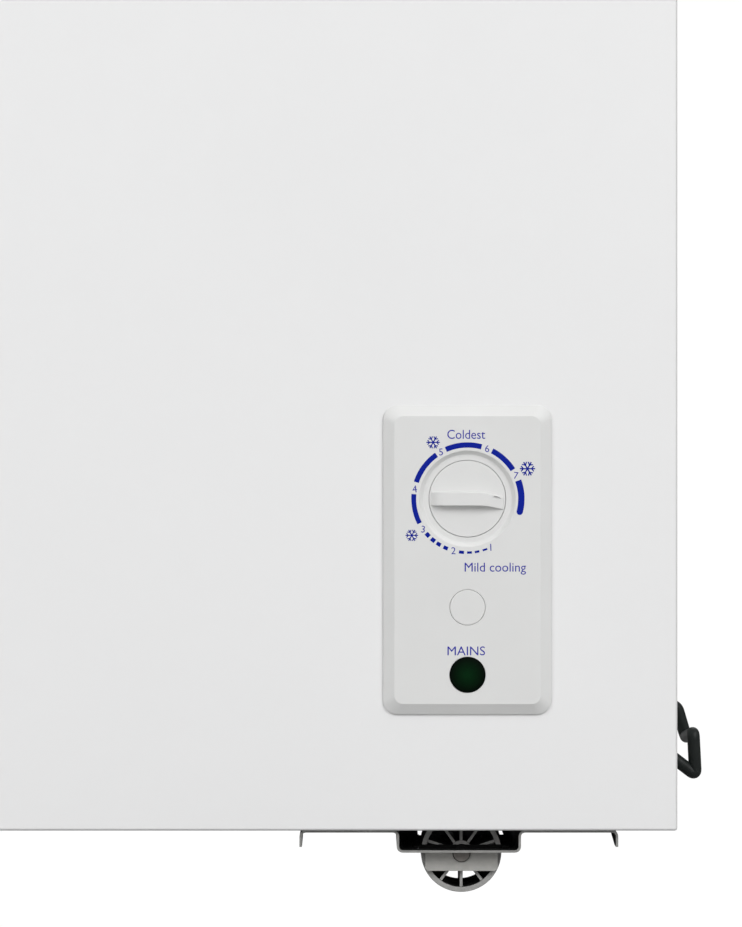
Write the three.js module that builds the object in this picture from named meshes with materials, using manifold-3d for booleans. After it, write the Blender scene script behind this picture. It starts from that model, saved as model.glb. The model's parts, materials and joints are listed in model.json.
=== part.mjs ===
// A free-standing chest freezer on four roller casters, built as separate pieces.
// Millimetres, +Z up, front facing -Y, +X to the right of a person facing the front.
// The cabinet is drawn centred on X and Y, and the whole freezer is then moved so that the
// origin is the middle of its footprint on the floor.

import * as THREE from 'three';
import { mergeVertices } from 'three/addons/utils/BufferGeometryUtils.js';
import Module from 'manifold-3d';

const wasm = await Module();
wasm.setup();

// ---------------------------------------------------------------- driving dimensions

const GAP = 0.3; // clearance between pieces that touch

const CABINET = { width: 1116, depth: 640, bottom: 41.6, top: 786, sheet: 0.8, hem: 14 };
const RIGHT = CABINET.width / 2;
const FRONT = -CABINET.depth / 2;
const REAR = CABINET.depth / 2;
const INNER_X = RIGHT - CABINET.sheet; // inside face of the side sheets
const INNER_Y = REAR - CABINET.sheet; // inside face of the front sheet and the rear panel

const PAN = { bottom: CABINET.bottom + CABINET.sheet + GAP, thickness: 1 };
const PAN_TOP = PAN.bottom + PAN.thickness;

const FOAM = { outerX: 551, outerY: 313, innerX: 501, innerY: 263, stepX: 236, floor: 100, top: 785 };
const LINER = { x: 493, y: 248, stepX: 228, floor: 109, stepFloor: 386, top: 785.7, wall: 1.2, corner: 24 };
const LEDGE = { height: 762, reach: 8 }; // rim inside the liner that the basket hangs on

const COMPARTMENT = { left: 289, ceiling: 330, sheet: 1 };
const COLLAR = { bottom: CABINET.top + GAP, thickness: 4, innerX: 489, innerY: 252 };
const COLLAR_TOP = COLLAR.bottom + COLLAR.thickness;

const LID = { x: 559, front: -322, rear: 318, bottom: 799, top: 850, sheet: 1, corner: 10, edge: 6 };
const LID_PLUG = { x: 478, y: 240, bottom: 785.5, wall: 1.5 };
const GASKET = { x: 545, y: 306, width: 14 };
const HANDLE = { width: 150, reach: 24, top: 838, bottom: 808, wall: 5 };

const HINGE = { x: 330, y: 334, z: 800, knuckle: 8, pin: 3, bore: 3.3, earX: 20, ear: 4, plate: 2.5 };
const HINGE_PLATE = { half: 32, bottom: 700, top: 782, earBottom: 735 };
const HINGE_LEAF = { half: 26, bottom: 803, top: 846 };

const PANEL = { right: 131.6, above: 169.55, width: 105, height: 193, corner: 9, slope: 7, proud: 6 };
const PANEL_OPENING = { halfWidth: 42, halfHeight: 86 };
const KNOB = { above: 38.2, radius: 23.8, back: 1.6, face: 3.3, grip: 8.2, shaft: 3 };
const DISH = { radius: 30, depth: 3, well: 24.2, floor: 1.3 };
const PLUG = { above: -29.45, radius: 11 };
const LENS = { above: -71.45, radius: 11.1 };
const CAP_TAIL = -3; // the plug and the lens reach this far behind the front sheet

const CASTER = {
  inset: 136.6, front: 5, rear: 105, sheet: 1.5, flange: 100, trough: 39, bottom: 14.4,
  lip: 10.8, lipCut: 2.2,
};
const TROUGH_WINDOWS = { from: 62, to: 95.4, spans: [[-24.4, -20.2], [29.1, 31.9]] };
const CARRIER = {
  shift: 2, half: 23, upper: 27.3, top: 11.1, strap: 14.4, bottom: 27.7, front: 16, rear: 55.5, flange: 3,
};
const WHEEL = { radius: 25.5, rim: 3.4, hub: 7.5, bore: 3.3, below: 16.2, front: 20, width: 32 };
const AXLE = { radius: 3, head: 5.7, tail: 4.5 };
const SPOKES = 10;
const RIM_SIDES = 30;

const LOOP = { rod: 4.5, bend: 6.4, holeGap: 2 };
// Cord wrap loop: distance out of the right side, height over the cabinet's bottom, distance back
const LOOP_POINTS = [
  [-6, 43, 200],
  [38.1, 9.3, 200],
  [36.6, 38.8, 200],
  [38.1, 30.2, 252],
  [31.4, 52.9, 252],
  [-6, 52.9, 252],
];

const BASKET = { left: 250, right: 470, y: 236, rimY: 252, rim: 6, bottom: 566, wall: 3 };
const DRAIN = { x: -430, y: -200, bore: 6, radius: 8.5, clearance: 8.8 };
const COMPRESSOR = { x: 425, y: 140, radius: 64, bottom: 62, height: 165 };
const VENT = { y: 80, z: 190, width: 220, height: 110 };
const SLATS = { count: 8, margin: 14, pitch: 10.5, height: 5 };
const LOUVRES = { rows: 9, first: 130, pitch: 18, height: 7, inset: 45 };
const PAN_VENTS = { count: 5, left: 330, width: 20, pitch: 44, front: -160, rear: -40 };
const GLAND = { inset: 30, z: 90, hole: 9.3, sunk: 10 };
const EVAPORATOR = { turns: 5, pitch: 45, low: 140, bend: 24, tube: 3 };
const CONDENSER = { runs: 5, pitch: 110, low: 140, left: -500, right: 250, bend: 40, tube: 2.4 };
const WELL = { half: 29, front: 4, rear: 5 }; // space cut round each roller

// ---------------------------------------------------------------- materials

function material(color, roughness, metalness = 0) {
  return new THREE.MeshStandardMaterial({ color, roughness, metalness });
}

const WHITE_PAINT = () => material(0xe8e9ea, 0.45, 0.1);
const WHITE_PLASTIC = () => material(0xe4e4e2, 0.5);
const GALVANISED = () => material(0xa9adb0, 0.45, 0.8);
const BLACK_STEEL = () => material(0x2b2c2b, 0.5, 0.5);
const STEEL = () => material(0x85878a, 0.4, 0.9);
const COPPER = () => material(0xb0683c, 0.35, 0.9);
const FOAM_YELLOW = () => material(0xe3d9a8, 0.9);
const RUBBER = () => material(0x1c1c1c, 0.8);
const GREY_PLASTIC = () => material(0x909092, 0.55);
const BLACK_PLASTIC = () => material(0x202222, 0.5);
const WIRE_WHITE = () => material(0xf0f0f0, 0.4);
const GREEN_LENS = () => material(0x06200f, 0.25);

// ---------------------------------------------------------------- shape helpers

function box(x0, x1, y0, y1, z0, z1) {
  const geometry = new THREE.BoxGeometry(x1 - x0, y1 - y0, z1 - z0);
  return geometry.translate((x0 + x1) / 2, (y0 + y1) / 2, (z0 + z1) / 2);
}

const PLANES = {
  xy: [new THREE.Vector3(1, 0, 0), new THREE.Vector3(0, 1, 0), new THREE.Vector3(0, 0, 1)],
  yz: [new THREE.Vector3(0, 1, 0), new THREE.Vector3(0, 0, 1), new THREE.Vector3(1, 0, 0)],
  zx: [new THREE.Vector3(0, 0, 1), new THREE.Vector3(1, 0, 0), new THREE.Vector3(0, 1, 0)],
};

function turnTo(geometry, plane) {
  return geometry.applyMatrix4(new THREE.Matrix4().makeBasis(...PLANES[plane]));
}

// A shape drawn in one plane and extruded along the plane's third axis.
function extrude(shape, plane, from, to, arcSteps = 2) {
  const options = { depth: to - from, bevelEnabled: false, curveSegments: arcSteps };
  return turnTo(new THREE.ExtrudeGeometry(shape, options).translate(0, 0, from), plane);
}

function polygon(points) {
  return new THREE.Shape(points.map(([u, v]) => new THREE.Vector2(u, v)));
}

// A rectangle with round corners, centred on (u, v).
function roundedRect(width, height, radius, u = 0, v = 0) {
  const shape = new THREE.Shape();
  const right = u + width / 2 - radius;
  const left = u - width / 2 + radius;
  const top = v + height / 2 - radius;
  const bottom = v - height / 2 + radius;
  shape.absarc(right, bottom, radius, -Math.PI / 2, 0);
  shape.absarc(right, top, radius, 0, Math.PI / 2);
  shape.absarc(left, top, radius, Math.PI / 2, Math.PI);
  shape.absarc(left, bottom, radius, Math.PI, Math.PI * 1.5);
  return shape;
}

// A stack of convex outlines, each given as a shape and its height, closed at both ends.
function loft(layers, arcSteps = 2) {
  const rings = layers.map(([shape, height]) =>
    shape.extractPoints(arcSteps).shape.map((p) => new THREE.Vector3(p.x, p.y, height)));
  const count = rings[0].length;
  const positions = rings.flat().flatMap((p) => [p.x, p.y, p.z]);
  const index = [];
  for (let layer = 0; layer + 1 < rings.length; layer += 1) {
    for (let i = 0; i < count; i += 1) {
      const a = layer * count + i;
      const b = layer * count + ((i + 1) % count);
      index.push(a, b, b + count, a, b + count, a + count);
    }
  }
  const last = (rings.length - 1) * count;
  for (let i = 1; i + 1 < count; i += 1) {
    index.push(0, i + 1, i, last, last + i, last + i + 1);
  }
  const geometry = new THREE.BufferGeometry();
  geometry.setAttribute('position', new THREE.Float32BufferAttribute(positions, 3));
  geometry.setIndex(index);
  return geometry;
}

// A solid of revolution about Z from [radius, height] points that start and end on the axis.
function turned(profile, segments = 20) {
  const points = profile.map(([r, z]) => new THREE.Vector2(r, z));
  return new THREE.LatheGeometry(points, segments).rotateX(Math.PI / 2);
}

// A ring about Z: a tube with square ends.
function ring(outer, inner, z0, z1, segments = 20) {
  return turned([[inner, z0], [outer, z0], [outer, z1], [inner, z1], [inner, z0]], segments);
}

function disc(radius, z0, z1, segments = 20) {
  return turned([[0, z0], [radius, z0], [radius, z1], [0, z1]], segments);
}

function alongY(geometry) {
  return geometry.rotateX(-Math.PI / 2);
}

function alongX(geometry) {
  return geometry.rotateY(Math.PI / 2);
}

// Straight runs joined by round bends. Its steps fall on the ends of the runs and along the bends.
class BentPath extends THREE.Curve {
  constructor(points, bend, bendSteps = 3) {
    super();
    const corners = points.map((p) => new THREE.Vector3(...p));
    this.stops = corners.flatMap((corner, i) => {
      if (i === 0 || i === corners.length - 1) {
        return [corner];
      }
      const entry = corners[i - 1].clone().sub(corner).setLength(bend).add(corner);
      const leave = corners[i + 1].clone().sub(corner).setLength(bend).add(corner);
      return new THREE.QuadraticBezierCurve3(entry, corner, leave).getPoints(bendSteps);
    });
    this.steps = this.stops.length - 1;
  }

  getUtoTmapping(u) {
    return u;
  }

  getPoint(t, target = new THREE.Vector3()) {
    const at = t * this.steps;
    const i = Math.min(Math.floor(at), this.steps - 1);
    return target.lerpVectors(this.stops[i], this.stops[i + 1], at - i);
  }

  getTangent(t, target = new THREE.Vector3()) {
    const i = Math.round(t * this.steps);
    const here = this.stops[i];
    const arrive = here.clone().sub(this.stops[Math.max(i - 1, 0)]).normalize();
    const depart = this.stops[Math.min(i + 1, this.steps)].clone().sub(here).normalize();
    return target.copy(arrive).add(depart).normalize();
  }
}

// A round rod along a bent path, with flat ends.
function rod(path, radius, sides = 8) {
  const section = new THREE.Shape();
  for (let i = 0; i < sides; i += 1) {
    const angle = (2 * Math.PI * i) / sides;
    const draw = i === 0 ? 'moveTo' : 'lineTo';
    section[draw](radius * Math.cos(angle), radius * Math.sin(angle));
  }
  section.closePath();
  const options = { steps: path.steps, bevelEnabled: false, extrudePath: path };
  return new THREE.ExtrudeGeometry(section, options);
}

// The outline of a bent sheet: a centre line with round bends, thickened to both sides.
function sheetOutline(points, thickness, bend, steps = 3) {
  const line = [];
  points.forEach(([u, v], i) => {
    const here = new THREE.Vector2(u, v);
    if (i === 0 || i === points.length - 1) {
      line.push(here);
      return;
    }
    const before = new THREE.Vector2(...points[i - 1]).sub(here).setLength(bend).add(here);
    const after = new THREE.Vector2(...points[i + 1]).sub(here).setLength(bend).add(here);
    line.push(...new THREE.QuadraticBezierCurve(before, here, after).getPoints(steps));
  });
  const offset = (side) => line.map((p, i) => {
    const next = line[Math.min(i + 1, line.length - 1)];
    const last = line[Math.max(i - 1, 0)];
    const normal = next.clone().sub(last).normalize();
    return [p.x - normal.y * side, p.y + normal.x * side];
  });
  return polygon([...offset(thickness / 2), ...offset(-thickness / 2).reverse()]);
}

function toSolid(geometry) {
  const bare = geometry.clone();
  bare.deleteAttribute('normal');
  bare.deleteAttribute('uv');
  const merged = mergeVertices(bare, 1e-4);
  return new wasm.Manifold(new wasm.Mesh({
    numProp: 3,
    vertProperties: new Float32Array(merged.attributes.position.array),
    triVerts: new Uint32Array(merged.index.array),
  }));
}

// Joins the first list of geometries and cuts the second list from them.
function carve(joined, cuts = []) {
  let solid = joined.map(toSolid).reduce((whole, piece) => whole.add(piece));
  cuts.forEach((cut) => {
    solid = solid.subtract(toSolid(cut));
  });
  const mesh = solid.getMesh();
  const geometry = new THREE.BufferGeometry();
  geometry.setAttribute('position', new THREE.BufferAttribute(mesh.vertProperties, 3));
  geometry.setIndex(new THREE.BufferAttribute(mesh.triVerts, 1));
  geometry.computeVertexNormals();
  return geometry;
}

function place(parent, name, geometry, finish) {
  const mesh = new THREE.Mesh(geometry, finish);
  mesh.name = name;
  parent.add(mesh);
  return mesh;
}

// ---------------------------------------------------------------- where the casters stand

// Each caster's group turns its front towards the nearest end of the cabinet.
const CASTERS = [
  { name: 'front_left', x: -RIGHT + CASTER.inset, y: FRONT, turn: 0 },
  { name: 'front_right', x: RIGHT - CASTER.inset, y: FRONT, turn: 0 },
  { name: 'rear_left', x: -RIGHT + CASTER.inset, y: REAR, turn: Math.PI },
  { name: 'rear_right', x: RIGHT - CASTER.inset, y: REAR, turn: Math.PI },
];

// A block of space over each roller, in the cabinet's frame.
function wheelWells(z0, z1) {
  return CASTERS.map(({ x, y, turn }) => {
    const side = turn === 0 ? 1 : -1;
    const middle = x + side * CARRIER.shift;
    const near = y + side * (WHEEL.front - WELL.front);
    const far = y + side * (WHEEL.front + WHEEL.width + WELL.rear);
    return box(middle - WELL.half, middle + WELL.half, Math.min(near, far), Math.max(near, far), z0, z1);
  });
}

// ---------------------------------------------------------------- cabinet

// One sheet bent round the front and both sides, with hems folded in at the top and bottom.
function outerWrap() {
  const corner = 2;
  const arc = (x, y, radius, from) => {
    const points = new THREE.EllipseCurve(x, y, radius, radius, from, from + Math.PI / 2).getPoints(4);
    return points.map((p) => [p.x, p.y]);
  };
  const inside = corner - CABINET.sheet;
  const outline = polygon([
    [-RIGHT, REAR],
    ...arc(-RIGHT + corner, FRONT + corner, corner, Math.PI),
    ...arc(RIGHT - corner, FRONT + corner, corner, Math.PI * 1.5),
    [RIGHT, REAR],
    [INNER_X, REAR],
    ...arc(RIGHT - corner, FRONT + corner, inside, Math.PI * 1.5).reverse(),
    ...arc(-RIGHT + corner, FRONT + corner, inside, Math.PI).reverse(),
    [-INNER_X, REAR],
  ]);
  const wall = extrude(outline, 'xy', CABINET.bottom, CABINET.top);
  const hem = (z) => {
    const reach = CABINET.hem;
    const flange = polygon([
      [-INNER_X - 0.4, INNER_Y - 1], [-INNER_X - 0.4, -INNER_Y - 0.4], [INNER_X + 0.4, -INNER_Y - 0.4],
      [INNER_X + 0.4, INNER_Y - 1], [INNER_X - reach, INNER_Y - 1], [INNER_X - reach, -INNER_Y + reach],
      [-INNER_X + reach, -INNER_Y + reach], [-INNER_X + reach, INNER_Y - 1],
    ]);
    return extrude(flange, 'xy', z, z + CABINET.sheet);
  };
  const panelX = RIGHT - PANEL.right;
  const panelZ = CABINET.bottom + PANEL.above;
  const { halfWidth, halfHeight } = PANEL_OPENING;
  const controlOpening = box(
    panelX - halfWidth, panelX + halfWidth, FRONT - 1, FRONT + 3, panelZ - halfHeight, panelZ + halfHeight,
  );
  const ventOpening = box(
    RIGHT - 3, RIGHT + 1,
    VENT.y - VENT.width / 2 + 8, VENT.y + VENT.width / 2 - 8,
    VENT.z - VENT.height / 2 + 8, VENT.z + VENT.height / 2 - 8,
  );
  const ends = [[38.4, 200], [52.9, 252]]; // above, back
  const loopHoles = ends.map(([above, back]) => {
    const hole = alongX(disc(LOOP.rod + LOOP.holeGap, RIGHT - 3, RIGHT + 1, 12));
    return hole.translate(0, FRONT + back, CABINET.bottom + above);
  });
  const hems = [hem(CABINET.bottom), hem(CABINET.top - CABINET.sheet)];
  return carve([wall, ...hems], [controlOpening, ventOpening, ...loopHoles]);
}

function rearPanel() {
  const edge = INNER_X - GAP;
  const bottom = CABINET.bottom;
  const left = COMPARTMENT.left - 1;
  const shape = polygon([
    [bottom, -edge], [bottom, left], [COMPARTMENT.ceiling, left],
    [COMPARTMENT.ceiling, edge], [CABINET.top, edge], [CABINET.top, -edge],
  ]);
  return extrude(shape, 'zx', INNER_Y, REAR);
}

// Louvred cover that closes the machine compartment at the rear.
function compressorCover() {
  const left = COMPARTMENT.left - 1 + GAP;
  const right = INNER_X - GAP;
  const plate = box(left, right, INNER_Y, REAR, CABINET.bottom, COMPARTMENT.ceiling - GAP);
  const slots = [];
  const { rows, first, pitch, height, inset } = LOUVRES;
  for (let row = 0; row < rows; row += 1) {
    const z = first + row * pitch;
    slots.push(box(left + inset, right - inset, INNER_Y - 1, REAR + 1, z, z + height));
  }
  const glandHole = alongY(disc(GLAND.hole, INNER_Y - 1, REAR + 1, 12));
  glandHole.translate(left + GLAND.inset, 0, GLAND.z);
  return carve([plate], [...slots, glandHole]);
}

function basePan() {
  const x = INNER_X - GAP;
  const y = INNER_Y - GAP;
  const plate = extrude(roundedRect(2 * x, 2 * y, 3), 'xy', PAN.bottom, PAN_TOP);
  const drain = disc(DRAIN.clearance, PAN.bottom - 1, PAN_TOP + 1, 16).translate(DRAIN.x, DRAIN.y, 0);
  const vents = [];
  const { count, left, width, pitch, front, rear } = PAN_VENTS;
  for (let i = 0; i < count; i += 1) {
    const ventX = left + i * pitch;
    vents.push(box(ventX, ventX + width, front, rear, PAN.bottom - 1, PAN_TOP + 1));
  }
  return carve([plate], [...wheelWells(PAN.bottom - 1, PAN_TOP + 1), drain, ...vents]);
}

// Foam between the sheets and the liner, cut away over the machine compartment.
function foamBody() {
  const bottom = PAN_TOP + GAP;
  const compartmentX = COMPARTMENT.left - GAP;
  const ceiling = COMPARTMENT.ceiling + GAP;
  const profile = polygon([
    [bottom, -FOAM.outerX], [bottom, compartmentX], [ceiling, compartmentX],
    [ceiling, FOAM.outerX], [FOAM.top, FOAM.outerX], [FOAM.top, -FOAM.outerX],
  ]);
  const block = extrude(profile, 'zx', -FOAM.outerY, FOAM.outerY);
  const stepFloor = LINER.stepFloor - 8;
  const deep = box(-FOAM.innerX, FOAM.stepX, -FOAM.innerY, FOAM.innerY, FOAM.floor, 800);
  const step = box(FOAM.stepX - 20, FOAM.innerX, -FOAM.innerY, FOAM.innerY, stepFloor, 800);
  const drain = disc(DRAIN.clearance, 0, FOAM.floor + 5, 16).translate(DRAIN.x, DRAIN.y, 0);
  return carve([block], [deep, step, drain, ...wheelWells(bottom - 1, bottom + 12)]);
}

// The tub: a deep part, a raised floor over the machine compartment, and a ledge at the rim.
function innerLiner() {
  const tub = (inset) => {
    const centred = (x0, x1, y, z0, z1) => {
      const shape = roundedRect(x1 - x0 - 2 * inset, 2 * (y - inset), LINER.corner - inset, (x0 + x1) / 2);
      return extrude(shape, 'xy', z0, z1);
    };
    const top = LINER.top + (inset > 0 ? 5 : 0);
    return [
      centred(-LINER.x, LINER.stepX, LINER.y, LINER.floor + inset, LEDGE.height + inset),
      centred(-LINER.x, LINER.x, LINER.y, LINER.stepFloor + inset, LEDGE.height + inset),
      centred(-LINER.x, LINER.x, LINER.y + LEDGE.reach, LEDGE.height - LINER.wall + inset, top),
    ];
  };
  const drain = disc(DRAIN.clearance, LINER.floor - 5, LINER.floor + 5, 16);
  return carve(tub(0), [...tub(LINER.wall), drain.translate(DRAIN.x, DRAIN.y, 0)]);
}

function frame(outerX, outerY, innerX, innerY, z0, z1, outerCorner, innerCorner) {
  const shape = roundedRect(2 * outerX, 2 * outerY, outerCorner);
  shape.holes.push(roundedRect(2 * innerX, 2 * innerY, innerCorner));
  return extrude(shape, 'xy', z0, z1);
}

function buildCabinet(parent) {
  place(parent, 'outer_wrap', outerWrap(), WHITE_PAINT());
  place(parent, 'rear_panel', rearPanel(), GALVANISED());
  place(parent, 'base_pan', basePan(), GALVANISED());
  place(parent, 'foam_body', foamBody(), FOAM_YELLOW());
  place(parent, 'inner_liner', innerLiner(), WHITE_PLASTIC());
  const collar = frame(
    RIGHT - 1, REAR - 1, COLLAR.innerX, COLLAR.innerY, COLLAR.bottom, COLLAR_TOP, 4, 20,
  );
  place(parent, 'top_breaker_collar', collar, WHITE_PLASTIC());
  const drainTube = ring(DRAIN.radius, DRAIN.bore, CABINET.bottom - 4, LINER.floor + LINER.wall, 16);
  place(parent, 'drain_tube', drainTube.translate(DRAIN.x, DRAIN.y, 0), GREY_PLASTIC());
  place(parent, 'compressor_cover', compressorCover(), GALVANISED());
  const lining = sheetOutline([
    [PAN_TOP + GAP, COMPARTMENT.left + 0.5],
    [COMPARTMENT.ceiling - 0.5, COMPARTMENT.left + 0.5],
    [COMPARTMENT.ceiling - 0.5, INNER_X - GAP],
  ], COMPARTMENT.sheet, 3);
  place(parent, 'compartment_lining', extrude(lining, 'zx', -INNER_Y + 1, INNER_Y - 1), GALVANISED());
}

// ---------------------------------------------------------------- refrigeration

// Tube wound round the deep part of the liner.
function evaporatorCoil() {
  const { turns, pitch, low, bend, tube } = EVAPORATOR;
  const x0 = -LINER.x - tube - 1;
  const x1 = LINER.stepX + tube + 1;
  const y = LINER.y + tube + 2;
  const points = [];
  for (let turn = 0; turn < turns; turn += 1) {
    const z = low + turn * pitch;
    points.push([x0, -y, z], [x1, -y, z + pitch * 0.25], [x1, y, z + pitch * 0.5], [x0, y, z + pitch * 0.75]);
  }
  points.shift();
  return rod(new BentPath(points, bend, 4), tube, 6);
}

// Tube that runs to and fro behind the front sheet.
function condenserCoil() {
  const { runs, pitch, low, left, right, bend, tube } = CONDENSER;
  const y = FRONT + CABINET.sheet + tube + 0.7;
  const points = [];
  for (let run = 0; run < runs; run += 1) {
    const z = low + run * pitch;
    const ends = run % 2 === 0 ? [left, right] : [right, left];
    points.push([ends[0], y, z], [ends[1], y, z]);
  }
  return rod(new BentPath(points, bend, 4), tube, 6);
}

function buildRefrigeration(parent) {
  place(parent, 'evaporator_coil', evaporatorCoil(), STEEL());
  place(parent, 'condenser_coil', condenserCoil(), STEEL());

  const { x, y, radius, bottom, height } = COMPRESSOR;
  const shell = turned([
    [0, 0], [radius * 0.7, 0], [radius * 0.94, 14], [radius, 34], [radius, 84], [radius + 3, 86],
    [radius + 3, 91], [radius, 93], [radius * 0.97, 130], [radius * 0.72, 156], [0, height],
  ], 24);
  place(parent, 'compressor_shell', shell.translate(x, y, bottom), BLACK_STEEL());

  const plateBottom = bottom - GAP - 2.5;
  const plate = extrude(roundedRect(190, 150, 14, x, y), 'xy', plateBottom, bottom - GAP);
  place(parent, 'compressor_mount_plate', plate, BLACK_STEEL());

  const footBase = PAN_TOP + GAP;
  const footHeight = plateBottom - GAP - footBase;
  const corners = [[-78, -58], [78, -58], [-78, 58], [78, 58]];
  corners.forEach(([dx, dy], i) => {
    const foot = turned([
      [0, 0], [12, 0], [12, 4], [9, 6], [12, footHeight - 3], [12, footHeight], [0, footHeight],
    ], 12);
    place(parent, `compressor_foot_${i + 1}`, foot.translate(x + dx, y + dy, footBase), RUBBER());
  });

  const relay = extrude(roundedRect(26, 62, 4, x - radius - 22, y), 'xy', bottom + 40, bottom + 96);
  place(parent, 'start_relay_box', relay, BLACK_PLASTIC());

  const crown = bottom + height + 1;
  const ceiling = COMPARTMENT.ceiling - COMPARTMENT.sheet - 1;
  const suction = [[x - 12, y, crown], [x - 12, y, 262], [x - 70, y - 30, 276], [x - 70, y - 30, ceiling]];
  place(parent, 'suction_pipe', rod(new BentPath(suction, 12), 4), COPPER());
  const discharge = [[x + 14, y, crown], [x + 14, y, 250], [x + 70, y - 70, 250], [x + 70, y - 70, 130]];
  place(parent, 'discharge_pipe', rod(new BentPath(discharge, 14), 3), COPPER());
  const drier = turned([[0, 0], [3, 0], [3, 8], [9, 16], [9, 84], [3, 92], [3, 104], [0, 104]], 12);
  place(parent, 'filter_drier', drier.translate(x + 95, y - 150, 120), COPPER());
}

// ---------------------------------------------------------------- right side wall

function buildSideFittings(parent) {
  const outline = roundedRect(VENT.width, VENT.height, 6, VENT.y, VENT.z);
  const flange = extrude(outline, 'yz', RIGHT + GAP, RIGHT + 2.6);
  const slats = [];
  const half = VENT.width / 2 - SLATS.margin;
  for (let i = 0; i < SLATS.count; i += 1) {
    const z = VENT.z - VENT.height / 2 + SLATS.margin + i * SLATS.pitch;
    slats.push(box(RIGHT - 2, RIGHT + 4, VENT.y - half, VENT.y + half, z, z + SLATS.height));
  }
  place(parent, 'side_vent_grille', carve([flange], slats), WHITE_PLASTIC());

  const points = LOOP_POINTS.map(([out, above, back]) => [RIGHT + out, FRONT + back, CABINET.bottom + above]);
  place(parent, 'cord_wrap_loop', rod(new BentPath(points, LOOP.bend, 4), LOOP.rod, 10), BLACK_STEEL());

  const gland = turned([
    [4, 0], [9, 0], [9, 10], [12, 10], [12, 14], [7, 22], [4, 22], [4, 0],
  ], 12);
  const glandX = COMPARTMENT.left - 1 + GAP + GLAND.inset;
  const mesh = place(parent, 'cord_inlet_gland', alongY(gland), BLACK_PLASTIC());
  mesh.position.set(glandX, REAR + GAP - GLAND.sunk, GLAND.z);
}

// ---------------------------------------------------------------- control panel

// Local frame: x to the right, y up, z out of the front sheet.
function buildControls(parent) {
  const panel = new THREE.Group();
  panel.position.set(RIGHT - PANEL.right, FRONT, CABINET.bottom + PANEL.above);
  panel.rotation.x = Math.PI / 2;
  parent.add(panel);

  const { width, height, corner, slope, proud } = PANEL;
  const body = loft([
    [roundedRect(width, height, corner), GAP],
    [roundedRect(width, height, corner), GAP + 1.2],
    [roundedRect(width - 2 * slope, height - 2 * slope, corner - 3), proud],
  ]);
  const shelf = proud - DISH.depth;
  const dish = turned([
    [0, shelf], [DISH.well, shelf], [DISH.radius, proud + 0.01], [DISH.radius, proud + 2], [0, proud + 2],
  ], 32);
  const well = disc(DISH.well, DISH.floor, proud + 1, 32);
  const shaftHole = disc(KNOB.shaft + 1, -1, proud, 12);
  const cuts = [dish, well, shaftHole].map((cut) => cut.translate(0, KNOB.above, 0));
  cuts.push(disc(PLUG.radius + GAP, -1, proud + 1, 24).translate(0, PLUG.above, 0));
  cuts.push(disc(LENS.radius + GAP, -1, proud + 1, 24).translate(0, LENS.above, 0));
  place(panel, 'control_bezel', carve([body], cuts), WHITE_PLASTIC());

  const base = turned([
    [0, KNOB.back], [KNOB.radius, KNOB.back], [KNOB.radius, KNOB.face - 0.4], [KNOB.radius - 0.4, KNOB.face],
    [0, KNOB.face],
  ], 32);
  const shaft = disc(KNOB.shaft, -2.6, KNOB.back + 0.5, 12);
  // The grip bar dips towards the dial and swings down a little at its pointer end.
  const bar = polygon([[-22, -4.2], [11, -4.2], [22.5, -6.8], [22.5, 1], [11, 4.2], [-22, 4.2]]);
  const dip = polygon([[KNOB.grip, 8], [KNOB.grip + 5, 8], [KNOB.grip + 5, 24], [KNOB.face + 0.8, 24]]);
  const grip = carve([extrude(bar, 'xy', KNOB.face - 1, KNOB.grip)], [extrude(dip, 'zx', -9, 9)]);
  const knob = place(panel, 'thermostat_knob', carve([base, shaft, grip]), WHITE_PLASTIC());
  knob.position.y = KNOB.above;

  const thermostat = extrude(roundedRect(48, 40, 4), 'xy', -38, -3);
  place(panel, 'thermostat_body', thermostat, GREY_PLASTIC()).position.y = KNOB.above;

  const plug = turned([
    [0, CAP_TAIL], [PLUG.radius, CAP_TAIL], [PLUG.radius, proud - 0.3], [PLUG.radius - 0.4, proud],
    [0, proud],
  ], 24);
  place(panel, 'blank_plug', plug, WHITE_PLASTIC()).position.y = PLUG.above;

  const lens = turned([
    [0, CAP_TAIL], [LENS.radius, CAP_TAIL], [LENS.radius, proud], [LENS.radius - 1, proud + 0.8],
    [0, proud + 1.2],
  ], 24);
  place(panel, 'pilot_lens', lens, GREEN_LENS()).position.y = LENS.above;
  const lamp = turned([[0, -30], [7, -30], [9, -26], [9, CAP_TAIL - GAP], [0, CAP_TAIL - GAP]], 16);
  place(panel, 'pilot_lamp_body', lamp, BLACK_PLASTIC()).position.y = LENS.above;
}

// ---------------------------------------------------------------- lid and hinges

function lidLayer(inset, z, trim = 0) {
  const width = 2 * (LID.x - inset - trim);
  const depth = LID.rear - LID.front - 2 * (inset + trim);
  const corner = LID.corner - inset - trim * 0.5;
  return [roundedRect(width, depth, corner, 0, (LID.front + LID.rear) / 2), z];
}

function lidShape(inset, z0, z1) {
  return loft([
    lidLayer(inset, z0),
    lidLayer(inset, z1 - LID.edge),
    lidLayer(inset, z1 - LID.edge * 0.3, LID.edge * 0.3),
    lidLayer(inset, z1, LID.edge),
  ]);
}

function hingeBlock(x0, x1, radius, bottom, front, top) {
  const outline = new THREE.Shape();
  outline.moveTo(front, bottom);
  outline.lineTo(HINGE.y - 2, bottom);
  outline.lineTo(HINGE.y + radius, HINGE.z);
  outline.absarc(HINGE.y, HINGE.z, radius, 0, Math.PI * 0.75, false);
  outline.lineTo(front, top);
  return extrude(outline, 'yz', x0, x1, 4);
}

function hingeBore(x0, x1) {
  return alongX(disc(HINGE.bore, x0, x1, 12)).translate(0, HINGE.y, HINGE.z);
}

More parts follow.
